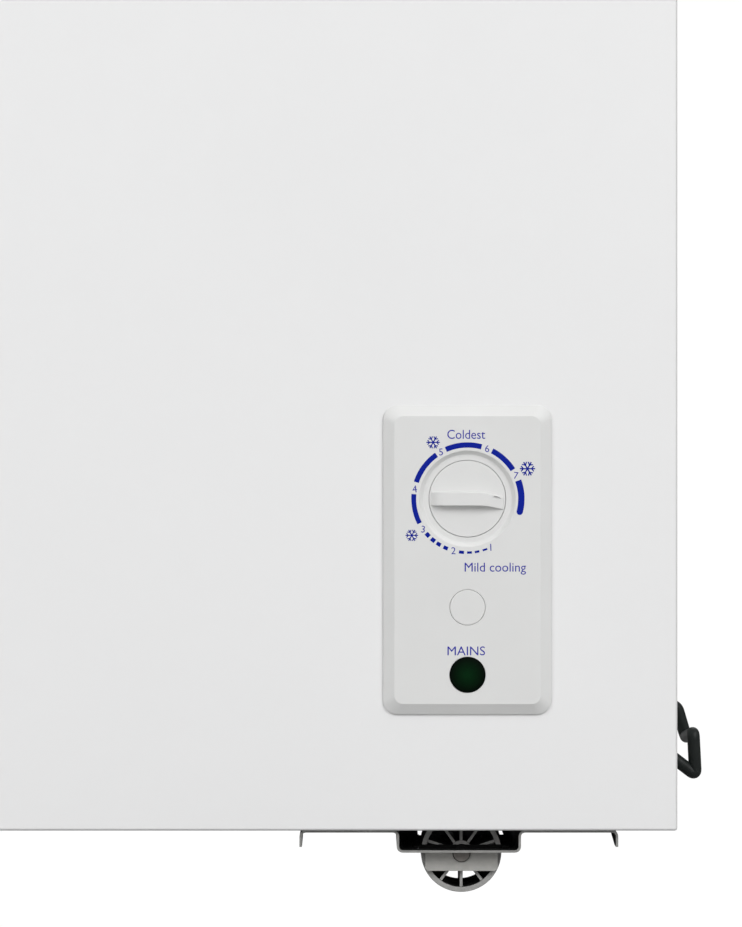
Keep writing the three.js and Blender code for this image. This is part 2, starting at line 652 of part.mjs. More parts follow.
function buildHinge(parent, side, x) {
  const { earX, ear, plate, knuckle } = HINGE;
  const wall = REAR + GAP;
  const { half: plateHalf, bottom, top, earBottom } = HINGE_PLATE;
  const cabinetPlate = box(x - plateHalf, x + plateHalf, wall, wall + plate, bottom, top);
  const ears = [-1, 1].map((hand) => {
    const inner = x + hand * earX;
    const outer = x + hand * (earX + ear);
    return hingeBlock(Math.min(inner, outer), Math.max(inner, outer), knuckle, earBottom, wall + 1, top);
  });
  const bores = [hingeBore(x - plateHalf, x + plateHalf)];
  const bracket = carve([cabinetPlate, ...ears], bores);
  place(parent, `hinge_bracket_${side}`, bracket, GALVANISED());

  const leafFace = LID.rear + GAP;
  const { half: leafHalf, bottom: leafBottom, top: leafTop } = HINGE_LEAF;
  const leaf = box(x - leafHalf, x + leafHalf, leafFace, leafFace + plate, leafBottom, leafTop);
  const half = earX - 0.6;
  const arm = box(x - half, x + half, leafFace + 1, HINGE.y, HINGE.z + 3.5, HINGE.z + knuckle - 0.4);
  const barrel = alongX(disc(knuckle - 0.2, x - half, x + half, 20)).translate(0, HINGE.y, HINGE.z);
  const lidLeaf = carve([leaf, arm, barrel], bores);
  place(parent, `hinge_leaf_${side}`, lidLeaf, GALVANISED());

  const reach = earX + ear + 1;
  const pin = turned([
    [0, -reach - 2], [4.5, -reach - 2], [4.5, -reach], [HINGE.pin, -reach],
    [HINGE.pin, reach + 2], [0, reach + 2],
  ], 12);
  const mesh = place(parent, `hinge_pin_${side}`, alongX(pin), STEEL());
  mesh.position.set(x, HINGE.y, HINGE.z);
}

function buildLid(parent) {
  const { sheet } = LID;
  const skin = carve(
    [lidShape(0, LID.bottom, LID.top)],
    [lidShape(sheet, LID.bottom - 5, LID.top - sheet)],
  );
  place(parent, 'lid_outer_skin', skin, WHITE_PAINT());

  const rim = sheet + GAP;
  const middle = (LID.front + LID.rear) / 2;
  const panelSize = [2 * (LID.x - rim), LID.rear - LID.front - 2 * rim];
  const soleShape = roundedRect(...panelSize, LID.corner - rim, 0, middle);
  const sole = extrude(soleShape, 'xy', LID.bottom + GAP, LID.bottom + 3);
  const plugShape = (inset) => roundedRect(2 * (LID_PLUG.x - inset), 2 * (LID_PLUG.y - inset), 22 - inset);
  const plug = extrude(plugShape(0), 'xy', LID_PLUG.bottom, LID.bottom + 1);
  const wall = LID_PLUG.wall;
  const pocket = extrude(plugShape(wall), 'xy', LID_PLUG.bottom + wall, LID.bottom + 5);
  place(parent, 'lid_inner_panel', carve([sole, plug], [pocket]), WHITE_PLASTIC());

  const core = lidShape(rim, LID.bottom + 3 + GAP, LID.top - rim);
  const fill = extrude(plugShape(wall + GAP), 'xy', LID_PLUG.bottom + wall + GAP, LID.bottom + 5);
  place(parent, 'lid_foam', carve([core, fill]), FOAM_YELLOW());

  const gasket = frame(
    GASKET.x, GASKET.y, GASKET.x - GASKET.width, GASKET.y - GASKET.width,
    COLLAR_TOP + GAP, LID.bottom, 10, 6,
  );
  place(parent, 'lid_gasket', gasket, GREY_PLASTIC());

  const back = LID.front - GAP;
  const nose = back - HANDLE.reach;
  const section = polygon([
    [back, HANDLE.top], [nose + 6, HANDLE.top], [nose, HANDLE.top - 6], [nose, HANDLE.bottom],
    [nose + HANDLE.wall, HANDLE.bottom], [nose + HANDLE.wall, HANDLE.top - 10],
    [nose + HANDLE.wall + 4, HANDLE.top - 6], [back, HANDLE.top - 6],
  ]);
  place(parent, 'lid_handle', extrude(section, 'yz', -HANDLE.width / 2, HANDLE.width / 2), WHITE_PLASTIC());

  buildHinge(parent, 'left', -HINGE.x);
  buildHinge(parent, 'right', HINGE.x);
}

// ---------------------------------------------------------------- loose fittings inside

function buildInside(parent) {
  const { left, right, y, rimY, rim, bottom, wall } = BASKET;
  const rest = LEDGE.height + LINER.wall + GAP;
  const top = rest + rim;
  const tub = box(left, right, -y, y, bottom, top);
  const hanger = box(left, right, -rimY, rimY, rest, top);
  const hollow = box(left + wall, right - wall, -y + wall, y - wall, bottom + wall, top + 1);
  place(parent, 'wire_basket', carve([tub, hanger], [hollow]), WIRE_WHITE());

  const floor = LINER.floor + LINER.wall;
  const stopper = turned([
    [0, floor - 18], [4.6, floor - 18], [5.6, floor - 4], [5.6, floor + GAP], [13, floor + GAP],
    [13, floor + 3], [4, floor + 6], [4, floor + 14], [0, floor + 14],
  ], 16);
  place(parent, 'drain_plug', stopper, RUBBER()).position.set(DRAIN.x, DRAIN.y, 0);
}

// ---------------------------------------------------------------- casters

// Hat-section bracket: flanges under the cabinet, a trough between them and a lip at each end.
function casterBracket() {
  const half = CASTER.sheet / 2;
  const flangeLine = -GAP - half;
  const troughLine = -CASTER.bottom + half;
  const trough = CASTER.trough - half;
  const end = CASTER.flange - half;
  const line = [
    [-CASTER.lip, -end], [flangeLine, -end], [flangeLine, -trough], [troughLine, -trough],
    [troughLine, trough], [flangeLine, trough], [flangeLine, end], [-CASTER.lip, end],
  ];
  const hat = extrude(sheetOutline(line, CASTER.sheet, 4), 'zx', CASTER.front, CASTER.rear);
  const hole = (left, right, near, far) =>
    box(left, right, near, far, -CASTER.bottom - 1, -CASTER.bottom + CASTER.sheet + 2);
  const reach = CARRIER.upper + GAP;
  const { shift, front, rear } = CARRIER;
  const slot = hole(shift - reach, shift + reach, front - 3, rear + 2.5);
  const windows = TROUGH_WINDOWS.spans.map(([left, right]) =>
    hole(left, right, TROUGH_WINDOWS.from, TROUGH_WINDOWS.to));
  const slant = polygon([
    [CASTER.front + 4, -CASTER.lip - 1], [CASTER.front + 55, -CASTER.lipCut],
    [CASTER.rear + 1, -CASTER.lipCut], [CASTER.rear + 1, -CASTER.lip - 1],
  ]);
  const cuts = [-1, 1].map((hand) => {
    const near = hand * (CASTER.flange - 4);
    const far = hand * (CASTER.flange + 4);
    return extrude(slant, 'yz', Math.min(near, far), Math.max(near, far));
  });
  return carve([hat], [slot, ...windows, ...cuts]);
}

// Two ears joined by a strap on each side of the roller, with a flange that rests in the trough.
function casterCarrier() {
  const { shift, half, upper, top, strap, bottom, front, rear } = CARRIER;
  const sheet = CASTER.sheet;
  const ear = (y) => [
    box(shift - half, shift + half, y, y + sheet, -bottom, -strap + 1),
    box(shift - upper, shift + upper, y, y + sheet, -strap, -top),
  ];
  const straps = [-1, 1].map((hand) => {
    const inner = shift + hand * (upper - sheet);
    const outer = shift + hand * upper;
    return box(Math.min(inner, outer), Math.max(inner, outer), front, rear, -strap, -top);
  });
  const seat = -CASTER.bottom + sheet + GAP;
  const flanges = [-1, 1].map((hand) => {
    const inner = shift + hand * (upper - sheet);
    const outer = shift + hand * (upper + CARRIER.flange);
    return box(Math.min(inner, outer), Math.max(inner, outer), front - 4, rear + 3, seat, seat + sheet);
  });
  const bore = alongY(disc(WHEEL.bore, front - 5, rear + 5, 12)).translate(shift, 0, -WHEEL.below);
  return carve([...ear(front), ...ear(rear - sheet), ...straps, ...flanges], [bore]);
}

function casterAxle() {
  const { front, rear } = CARRIER;
  return alongY(turned([
    [0, front - GAP - 2], [AXLE.head, front - GAP - 2], [AXLE.head, front - GAP], [AXLE.radius, front - GAP],
    [AXLE.radius, rear + GAP], [AXLE.tail, rear + GAP], [AXLE.tail, rear + GAP + 1.5], [0, rear + GAP + 1.5],
  ], 12));
}

// Roller about its own Y axis: rim, hub and spokes, with one rim facet flat on the floor.
function casterWheel() {
  const { radius, rim, hub, bore, width } = WHEEL;
  const halfFacet = Math.PI / RIM_SIDES;
  const outside = radius / Math.cos(halfFacet);
  const tyre = alongY(ring(outside, radius - rim, 0, width, RIM_SIDES)).rotateY(halfFacet);
  const core = alongY(ring(hub, bore, 1, width - 1, 15));
  const spokes = [];
  for (let i = 0; i < SPOKES; i += 1) {
    const spoke = box(-1, 1, 2, width - 2, hub - 0.5, radius - rim + 0.6);
    spokes.push(spoke.rotateY(Math.PI + (2 * Math.PI * i) / SPOKES));
  }
  return carve([tyre, core, ...spokes]);
}

function buildCasters(parent) {
  CASTERS.forEach(({ name, x, y, turn }) => {
    const caster = new THREE.Group();
    caster.position.set(x, y, CABINET.bottom);
    caster.rotation.z = turn;
    parent.add(caster);
    place(caster, `caster_bracket_${name}`, casterBracket(), BLACK_STEEL());
    place(caster, `caster_carrier_${name}`, casterCarrier(), STEEL());
    place(caster, `caster_axle_${name}`, casterAxle(), STEEL()).position.set(CARRIER.shift, 0, -WHEEL.below);
    const wheel = place(caster, `caster_wheel_${name}`, casterWheel(), GREY_PLASTIC());
    wheel.position.set(CARRIER.shift, WHEEL.front, -WHEEL.below);
  });
}

// ---------------------------------------------------------------- assembly

const freezer = new THREE.Group();
buildCabinet(freezer);
buildRefrigeration(freezer);
buildSideFittings(freezer);
buildControls(freezer);
buildLid(freezer);
buildInside(freezer);
buildCasters(freezer);

const extent = new THREE.Box3().setFromObject(freezer);
const middle = extent.getCenter(new THREE.Vector3());
freezer.position.set(-middle.x, -middle.y, -extent.min.z);

export default freezer;
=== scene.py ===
"""A chest freezer rebuilt round its CAD frame: looks, materials, stage, light and camera."""
import json
import math

import bmesh
import bpy
from mathutils import Matrix, Vector


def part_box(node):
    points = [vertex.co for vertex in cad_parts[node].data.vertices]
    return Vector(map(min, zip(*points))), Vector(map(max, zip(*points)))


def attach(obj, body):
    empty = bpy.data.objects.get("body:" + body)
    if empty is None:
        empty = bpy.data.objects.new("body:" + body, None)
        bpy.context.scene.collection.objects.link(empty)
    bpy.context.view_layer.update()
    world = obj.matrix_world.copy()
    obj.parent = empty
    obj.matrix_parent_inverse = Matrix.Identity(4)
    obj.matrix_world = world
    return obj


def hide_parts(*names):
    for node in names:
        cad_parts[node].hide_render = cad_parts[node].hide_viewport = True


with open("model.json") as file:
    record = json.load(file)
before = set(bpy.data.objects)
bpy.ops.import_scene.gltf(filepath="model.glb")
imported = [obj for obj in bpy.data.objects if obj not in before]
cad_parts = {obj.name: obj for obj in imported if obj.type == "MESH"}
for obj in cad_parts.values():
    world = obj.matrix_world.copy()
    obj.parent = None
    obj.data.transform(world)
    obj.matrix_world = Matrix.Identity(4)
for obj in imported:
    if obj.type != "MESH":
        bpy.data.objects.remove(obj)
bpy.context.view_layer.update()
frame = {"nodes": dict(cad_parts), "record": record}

MM = 0.001
X, Y, Z = range(3)
SCENE = bpy.context.scene
NODES = frame["nodes"]
BODY_OF = {node: body for body, members in frame["record"]["behaviour"]["bodies"].items() for node in members}
SLOT_OF = {row["node"]: row["material_slot"] for row in frame["record"]["subparts"]}

# ---- places, from the frame

WRAP_LOW, WRAP_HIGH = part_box("outer_wrap")
BEZEL_LOW, BEZEL_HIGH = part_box("control_bezel")
KNOB_LOW, KNOB_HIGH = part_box("thermostat_knob")
PLUG_LOW, PLUG_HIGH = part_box("blank_plug")
LENS_LOW, LENS_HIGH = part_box("pilot_lens")
LID_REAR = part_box("lid_outer_skin")[1].y

RIGHT = WRAP_HIGH.x
LEFT = WRAP_LOW.x
FRONT = WRAP_LOW.y
REAR = WRAP_HIGH.y
BOTTOM = WRAP_LOW.z
TOP = WRAP_HIGH.z


def middle(node):
    low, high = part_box(node)
    return (low + high) / 2


# The control panel is drawn in millimetres: u right, v up, w out of the front sheet.
PANEL = Vector((middle("control_bezel").x, FRONT, middle("control_bezel").z))


def on_panel(u, v, w):
    return PANEL + Vector((u, -w, v)) * MM


def panel_uv(point):
    return (point.x - PANEL.x) / MM, (point.z - PANEL.z) / MM


KNOB_U, KNOB_V = panel_uv(Vector((middle("blank_plug").x, 0, (KNOB_LOW.z + KNOB_HIGH.z) / 2)))
FACE_W = (FRONT - BEZEL_LOW.y) / MM  # how far the bezel's face stands out of the sheet


def out_of_panel(u, v):
    """Place function of a turned piece whose axis stands out of the panel at (u, v)."""
    return lambda a, b, h: on_panel(u + a, v + b, h)


TROUGH_FLOOR = -14.4  # underside of the casters' troughs, in millimetres over the cabinet's bottom

# ---- camera

CAMERA_LEFT_OF_EDGE = 0.1917
CAMERA_ABOVE_EDGE = 0.2297
CAMERA_DISTANCE = 1.5
LENS_MM = 93.2


def build_camera():
    data = bpy.data.cameras.new("camera")
    data.lens = LENS_MM
    data.sensor_width = 36.0
    data.clip_start = 0.05
    data.clip_end = 60.0
    camera = bpy.data.objects.new("camera", data)
    camera.location = (RIGHT - CAMERA_LEFT_OF_EDGE, FRONT - CAMERA_DISTANCE, BOTTOM + CAMERA_ABOVE_EDGE)
    camera.rotation_euler = (math.radians(90), 0, 0)
    SCENE.collection.objects.link(camera)
    SCENE.camera = camera


build_camera()

# ---- material building


class Shader:
    """One node-based material, built up by short calls."""

    def __init__(self, name):
        self.material = bpy.data.materials.new(name)
        self.material.use_nodes = True
        self.tree = self.material.node_tree
        self.tree.nodes.clear()
        self.bsdf = self.node("ShaderNodeBsdfPrincipled")
        self.link(self.bsdf.outputs[0], self.node("ShaderNodeOutputMaterial").inputs[0])
        self.place = self.node("ShaderNodeTexCoord").outputs["Object"]

    def node(self, kind, **settings):
        node = self.tree.nodes.new(kind)
        for key, value in settings.items():
            setattr(node, key, value)
        return node

    def link(self, source, target):
        self.tree.links.new(source, target)

    def noise(self, scale, detail=3.0, roughness=0.55, stretch=(1, 1, 1)):
        mapping = self.node("ShaderNodeMapping")
        mapping.inputs["Scale"].default_value = stretch
        self.link(self.place, mapping.inputs["Vector"])
        noise = self.node("ShaderNodeTexNoise")
        noise.inputs["Scale"].default_value = scale
        noise.inputs["Detail"].default_value = detail
        noise.inputs["Roughness"].default_value = roughness
        self.link(mapping.outputs[0], noise.inputs["Vector"])
        return noise.outputs["Fac"]

    def cells(self, scale, output="Color"):
        cells = self.node("ShaderNodeTexVoronoi")
        cells.inputs["Scale"].default_value = scale
        self.link(self.place, cells.inputs["Vector"])
        return cells.outputs[output]

    def ramp(self, value, low, high, start=0.3, end=0.7):
        ramp = self.node("ShaderNodeValToRGB")
        ramp.color_ramp.elements[0].position = start
        ramp.color_ramp.elements[1].position = end
        ramp.color_ramp.elements[0].color = (*low, 1)
        ramp.color_ramp.elements[1].color = (*high, 1)
        self.link(value, ramp.inputs[0])
        return ramp.outputs[0]

    def spread(self, value, low, high, start=0.3, end=0.7):
        spread = self.node("ShaderNodeMapRange")
        for name, number in (("From Min", start), ("From Max", end), ("To Min", low), ("To Max", high)):
            spread.inputs[name].default_value = number
        self.link(value, spread.inputs["Value"])
        return spread.outputs[0]

    def mix(self, factor, first, second):
        mix = self.node("ShaderNodeMix", data_type="RGBA")
        self.link(factor, mix.inputs["Factor"])
        self.link(first, mix.inputs[6])
        self.link(second, mix.inputs[7])
        return mix.outputs[2]

    def work_out(self, operation, *values, kind="ShaderNodeMath", output="Value"):
        """A math node on sockets, numbers or vectors."""
        node = self.node(kind, operation=operation)
        for slot, value in zip(node.inputs, values):
            if isinstance(value, bpy.types.NodeSocket):
                self.link(value, slot)
            else:
                slot.default_value = value
        return node.outputs[output]

    def vector(self, operation, *values, output="Vector"):
        return self.work_out(operation, *values, kind="ShaderNodeVectorMath", output=output)

    def part(self, source, axis):
        split = self.node("ShaderNodeSeparateXYZ")
        self.link(source, split.inputs[0])
        return split.outputs[axis]

    def normal(self, axis):
        return self.part(self.node("ShaderNodeNewGeometry").outputs["True Normal"], axis)

    def facing(self, axis, start, end):
        """1 where the surface faces along the axis, either way, and 0 elsewhere."""
        return self.spread(self.work_out("ABSOLUTE", self.normal(axis)), 0.0, 1.0, start, end)

    def bump(self, height, depth, strength):
        bump = self.node("ShaderNodeBump")
        bump.inputs["Strength"].default_value = strength
        bump.inputs["Distance"].default_value = depth
        self.link(height, bump.inputs["Height"])
        self.link(bump.outputs[0], self.bsdf.inputs["Normal"])

    def set(self, **values):
        names = {"metallic": "Metallic", "roughness": "Roughness", "coat": "Coat Weight",
                 "coat_roughness": "Coat Roughness", "specular": "Specular IOR Level"}
        for key, value in values.items():
            self.bsdf.inputs[names[key]].default_value = value

    def color(self, source):
        self.link(source, self.bsdf.inputs["Base Color"])

    def roughness(self, source):
        self.link(source, self.bsdf.inputs["Roughness"])


def grey(value, tint=(0, 0, 0)):
    return tuple(value + t for t in tint)


def shade(color, factor):
    return tuple(factor * c for c in color)


def moulded(name, low, high, grain, depth, rough=(0.42, 0.55), blotch=14.0, **values):
    """Moulded or painted surface: faint blotches in the colour and a fine even texture."""
    shader = Shader(name)
    shader.set(**values)
    shader.color(shader.ramp(shader.noise(blotch, 2.0), low, high))
    fine = shader.noise(grain, 2.0, 0.5)
    shader.roughness(shader.spread(fine, *rough))
    shader.bump(fine, depth, 0.6)
    return shader.material


def white_paint():
    shader = Shader("white_powder_coat")
    shader.set(specular=0.35, coat=0.12, coat_roughness=0.35)
    cloud = shader.noise(3.0, 3.0)
    cool = (0, 0.001, 0.002)
    flat = shader.ramp(cloud, grey(0.796, cool), grey(0.809, cool))
    # darker copies of the paint's colour: painted shade for the folds and the hem
    thin = shader.ramp(cloud, grey(0.62), grey(0.64))
    hem_painted_shade = shader.ramp(cloud, grey(0.50), grey(0.52))
    # painted shade: a darker colour on the sheet's upright folds and a darker one still round its lower hem,
    # where less light falls
    fold = shader.work_out("SUBTRACT", shader.facing(X, 0.12, 0.8), shader.facing(X, 0.94, 0.995))
    hem = shader.spread(shader.normal(Z), 1.0, 0.0, -0.8, -0.12)
    shader.color(shader.mix(hem, shader.mix(fold, flat, thin), hem_painted_shade))
    peel = shader.noise(520.0, 2.0, 0.45)
    shader.roughness(shader.spread(shader.noise(60.0, 4.0), 0.40, 0.50))
    shader.bump(peel, 0.00004, 0.5)
    return shader.material


def galvanised():
    shader = Shader("galvanised_sheet")
    shader.set(metallic=0.85)
    flakes = shader.cells(55.0)
    tone = shader.ramp(flakes, (0.48, 0.50, 0.51), (0.66, 0.68, 0.69), 0.1, 0.9)
    stain = shader.ramp(shader.noise(9.0, 4.0), (0.42, 0.43, 0.43), (0.62, 0.63, 0.63))
    shader.color(shader.mix(shader.spread(shader.noise(3.0), 0.2, 0.6), tone, stain))
    shader.roughness(shader.spread(flakes, 0.34, 0.52, 0.0, 1.0))
    shader.bump(shader.noise(300.0, 3.0), 0.00003, 0.5)
    return shader.material


def bare_steel(name, low, high, scratch=(1, 14, 1), metallic=0.7):
    shader = Shader(name)
    shader.set(metallic=metallic)
    streaks = shader.noise(180.0, 5.0, 0.65, scratch)
    shader.color(shader.ramp(streaks, low, high, 0.25, 0.75))
    shader.roughness(shader.spread(streaks, 0.38, 0.6))
    shader.bump(streaks, 0.00003, 0.6)
    return shader.material


UNSHADED_FACING = (0.72, 0.9)  # how squarely a face has to look to the front or rear to start and to end showing its own colour instead of painted shade


def shade_all_but_front(name, body, edge, metallic=0.25):
    """Sheet or moulding in its own lighter colour on its faces to the front and rear, nearly black with
    painted shade on all other faces.
    """
    shader = Shader(name)
    shader.set(metallic=metallic, specular=0.3)
    grain = shader.noise(420.0, 4.0, 0.6)
    # painted shade: a near-black colour for every face that does not look to the front or rear
    painted_shade = shader.ramp(grain, body, shade(body, 1.7))
    light = shader.ramp(shader.noise(260.0, 5.0, 0.6), shade(edge, 0.86), shade(edge, 1.1))
    shader.color(shader.mix(shader.facing(Y, *UNSHADED_FACING), painted_shade, light))
    shader.roughness(shader.spread(grain, 0.5, 0.7))
    shader.bump(grain, 0.00005, 0.5)
    return shader.material


def shaded_in_trough(name, low, high):
    """Steel in its own colour on its faces to the front and rear below the bracket's trough, and nearly black
    with painted shade elsewhere.
    """
    shader = Shader(name)
    shader.set(metallic=0.1, specular=0.08)
    grain = shader.noise(240.0, 4.0, 0.6)
    bare = shader.ramp(grain, low, high)
    # painted shade: the near-black colour inside the trough and on the faces that do not look to the front or
    # rear
    coat = shader.ramp(grain, (0.0010, 0.0010, 0.0010), (0.0022, 0.0023, 0.0021))
    blur = 0.2 * MM
    edge = BOTTOM + TROUGH_FLOOR * MM - blur
    line = shader.spread(shader.part(shader.place, Z), 0.0, 1.0, edge - blur, edge + blur)
    front = shader.mix(shader.facing(Y, *UNSHADED_FACING), coat, bare)
    shader.color(shader.mix(line, front, coat))
    shader.roughness(shader.spread(grain, 0.5, 0.7))
    shader.bump(grain, 0.00004, 0.5)
    return shader.material


def foam():
    shader = Shader("insulation_foam")
    bubbles = shader.cells(420.0, "Distance")
    shader.color(shader.ramp(bubbles, (0.62, 0.55, 0.33), (0.86, 0.79, 0.56), 0.0, 0.7))
    shader.set(roughness=0.9)
    shader.bump(bubbles, 0.0006, 0.8)
    return shader.material


def lens_green():
    """Dark green cap, nearly black at its edge, with faint moulded rings."""
    shader = Shader("green_lens")
    shader.set(roughness=0.6, specular=0.04)
    offset = shader.vector("SUBTRACT", shader.place, middle("pilot_lens"))
    flat = shader.vector("MULTIPLY", offset, (1, 0, 1))
    from_axis = shader.vector("LENGTH", flat, output="Value")
    radius = (LENS_HIGH.x - LENS_LOW.x) / 2
    glow = shader.spread(from_axis, 1.0, 0.0, radius * 0.1, radius * 0.97)
    speck = shader.noise(900.0, 2.0)
    wash = shader.ramp(glow, (0.0006, 0.0025, 0.0010), (0.0012, 0.0215, 0.0050), 0.0, 1.0)
    deep = shader.ramp(glow, (0.0004, 0.0016, 0.0008), (0.0008, 0.0150, 0.0034), 0.0, 1.0)
    shader.color(shader.mix(speck, wash, deep))
    ring_width = 0.9 * MM
    rings = shader.work_out("SINE", shader.work_out("MULTIPLY", from_axis, 2 * math.pi / ring_width))
    shader.bump(rings, 0.00002, 0.4)
    return shader.material


def ink(name, low, high):
    shader = Shader(name)
    shader.set(specular=0.1)
    speck = shader.noise(2600.0, 3.0, 0.7)
    shader.color(shader.ramp(speck, low, high))
    shader.roughness(shader.spread(speck, 0.5, 0.62))
    shader.bump(speck, 0.00001, 0.4)
    return shader.material


MATERIALS = {
    "white_paint": white_paint(),
    "white_plastic": moulded("white_moulding", (0.690, 0.692, 0.685), (0.712, 0.714, 0.707), 1500.0, 0.00002,
                             (0.44, 0.56), 20.0, specular=0.3),
    "liner_plastic": moulded("liner_moulding", grey(0.80), (0.84, 0.845, 0.85), 240.0, 0.00006,
                             (0.28, 0.4), 6.0, coat=0.2, coat_roughness=0.25),
    "galvanised_sheet": galvanised(),
    "insulation_foam": foam(),
    "grey_plastic": moulded("grey_moulding", grey(0.22), grey(0.28), 900.0, 0.00004),
    "black_plastic": moulded("black_moulding", (0.010, 0.011, 0.011), (0.018, 0.020, 0.020), 900.0, 0.00004),
    "bare_steel": bare_steel("bare_steel", (0.20, 0.20, 0.195), (0.33, 0.33, 0.325)),
    "black_paint": moulded("black_enamel", (0.008, 0.008, 0.008), (0.015, 0.015, 0.015), 160.0, 0.00008,
                           (0.3, 0.45), 18.0, specular=0.5, coat=0.2, coat_roughness=0.2),
    "copper": bare_steel("copper_tube", (0.48, 0.22, 0.11), (0.72, 0.40, 0.24), (1, 1, 6), 0.95),
    "black_coated_rod": moulded("black_rod_coating", (0.0085, 0.0112, 0.0104), (0.0125, 0.0156, 0.0146),
                                700.0, 0.00006, (0.42, 0.55), 40.0, specular=0.22),
    "green_lens": lens_green(),
    "gasket_rubber": moulded("gasket_vinyl", grey(0.42), grey(0.50), 500.0, 0.00005, (0.55, 0.7)),
    "white_wire": moulded("white_wire_coating", grey(0.78), grey(0.86), 300.0, 0.00005, (0.2, 0.35), 30.0,
                          coat=0.3, coat_roughness=0.15),
    "black_rubber": moulded("black_rubber", grey(0.010), grey(0.022), 700.0, 0.00008, (0.7, 0.85)),
    # the bracket and the roller are painted nearly black, as shade, on all but their faces to the front and
    # rear
    "black_bracket": shade_all_but_front("bracket_steel", (0.0035, 0.0036, 0.0034), (0.300, 0.298, 0.287)),
    "roller_plastic": shade_all_but_front("roller_moulding", (0.0040, 0.0041, 0.0040), (0.365, 0.362, 0.352), 0.0),
}
AXLE_STEEL = shaded_in_trough("axle_steel", (0.215, 0.200, 0.186), (0.265, 0.248, 0.232))
CARRIER_STEEL = shaded_in_trough("carrier_steel", (0.425, 0.420, 0.400), (0.482, 0.476, 0.452))
INK_BAND = ink("blue_ink", (0.0010, 0.0100, 0.255), (0.0030, 0.0150, 0.290))
INK_TEXT = ink("violet_ink", (0.022, 0.024, 0.300), (0.034, 0.036, 0.350))
MARK = moulded("shadowed_groove", grey(0.30), grey(0.36), 1500.0, 0.00002)

# ---- mesh building

# points nearer to one another than this, in metres, are one point, in cut or copied meshes and in new ones
WELD, FINE_WELD = 2e-6, 1e-7


def add_object(name, mesh):
    obj = bpy.data.objects.new(name, mesh)
    SCENE.collection.objects.link(obj)
    return obj


def as_built(name, bm):
    mesh = bpy.data.meshes.new(name)
    bm.to_mesh(mesh)
    bm.free()
    return add_object(name, mesh)


def from_bmesh(name, bm):
    bmesh.ops.remove_doubles(bm, verts=bm.verts, dist=FINE_WELD)
    bmesh.ops.recalc_face_normals(bm, faces=bm.faces)
    return as_built(name, bm)


def flatten(bm, angle):
    """Welds the mesh and joins neighbouring faces whose tilt differs by less than an angle in degrees."""
    bmesh.ops.remove_doubles(bm, verts=bm.verts, dist=WELD)
    bmesh.ops.dissolve_limit(bm, angle_limit=math.radians(angle), verts=bm.verts, edges=bm.edges)


def from_faces(name, points, faces):
    mesh = bpy.data.meshes.new(name)
    mesh.from_pydata(points, [], faces)
    bm = bmesh.new()
    bm.from_mesh(mesh)
    bpy.data.meshes.remove(mesh)
    return from_bmesh(name, bm)


def settle(obj, body, material, slot, replaced=(), bevel=0.0, steps=2, angle=32.0):
    """Gives a piece its finish, soft edges and the body that it moves with."""
    obj.data.materials.clear()
    obj.data.materials.append(material)
    obj.data.shade_smooth()
    if bevel:
        soften = obj.modifiers.new("soft_edges", "BEVEL")
        soften.width = bevel
        soften.segments = steps
        soften.limit_method = "ANGLE"
        soften.angle_limit = math.radians(angle)
    else:
        obj.data.set_sharp_from_angle(angle=math.radians(angle))
    weigh = obj.modifiers.new("even_shading", "WEIGHTED_NORMAL")
    weigh.keep_sharp = True
    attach(obj, body)
    if replaced:
        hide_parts(*replaced)


def settle_as(obj, node, material=None, **options):
    """The piece stands for one CAD node and takes its body and the material of its slot."""
    slot = SLOT_OF[node]
    settle(obj, BODY_OF[node], material or MATERIALS[slot], slot, (node,), **options)


def arc(u, v, radius, start, end, steps):
    """Points on an arc, with its angles in degrees anticlockwise from the u axis."""
    angles = [math.radians(start + (end - start) * i / steps) for i in range(steps + 1)]
    return [(u + radius * math.cos(a), v + radius * math.sin(a)) for a in angles]


def rounded_outline(width, height, radius, steps):
    u, v = width / 2 - radius, height / 2 - radius
    corners = [(u, v, 0), (-u, v, 90), (-u, -v, 180), (u, -v, 270)]
    return [p for cu, cv, start in corners for p in arc(cu, cv, radius, start, start + 90, steps)]


def bend_line(points, radius, steps):
    """A line with its inner corners rounded, in two or three dimensions."""
    line = [Vector(p) for p in points]
    rounded = [line[0]]
    for before, here, after in zip(line, line[1:], line[2:]):
        entry = here + (before - here).normalized() * radius
        leave = here + (after - here).normalized() * radius
        for i in range(steps + 1):
            t = i / steps
            rounded.append(entry * (1 - t) ** 2 + here * 2 * t * (1 - t) + leave * t ** 2)
    rounded.append(line[-1])
    return rounded


def thicken(line, thickness):
    """The closed outline of a sheet whose middle follows a flat line."""
    left, right = [], []
    for i, here in enumerate(line):
        run = (line[min(i + 1, len(line) - 1)] - line[max(i - 1, 0)]).normalized()
        normal = Vector((-run.y, run.x)) * thickness / 2
        left.append(here + normal)
        right.append(here - normal)
    return left + right[::-1]


def ring_faces(rings, count, looped=False):
    """Faces between rings of points; a looped row of rings closes on itself, others get end faces."""
    faces = []
    for k in range(rings if looped else rings - 1):
        low, high = k * count, ((k + 1) % rings) * count
        for i in range(count):
            j = (i + 1) % count
            faces.append((low + i, low + j, high + j, high + i))
    if not looped:
        faces.append(tuple(range(count))[::-1])
        faces.append(tuple((rings - 1) * count + i for i in range(count)))
    return faces


def loft(name, rings):
    """A closed solid through outlines of equal length, each a list of points in space."""
    points = [p for ring in rings for p in ring]
    return from_faces(name, points, ring_faces(len(rings), len(rings[0])))


def turned(name, profile, place, segments):
    """A solid of revolution. place(r cos a, r sin a, height) gives the point in space."""
    rings = []
    for i in range(segments):
        a = 2 * math.pi * i / segments
        rings.append([place(r * math.cos(a), r * math.sin(a), h) for r, h in profile])
    points = [p for ring in rings for p in ring]
    count = len(profile)
    faces = []
    for k in range(segments):
        low, high = k * count, ((k + 1) % segments) * count
        faces.extend((low + i, low + i + 1, high + i + 1, high + i) for i in range(count - 1))
    return from_faces(name, points, faces)


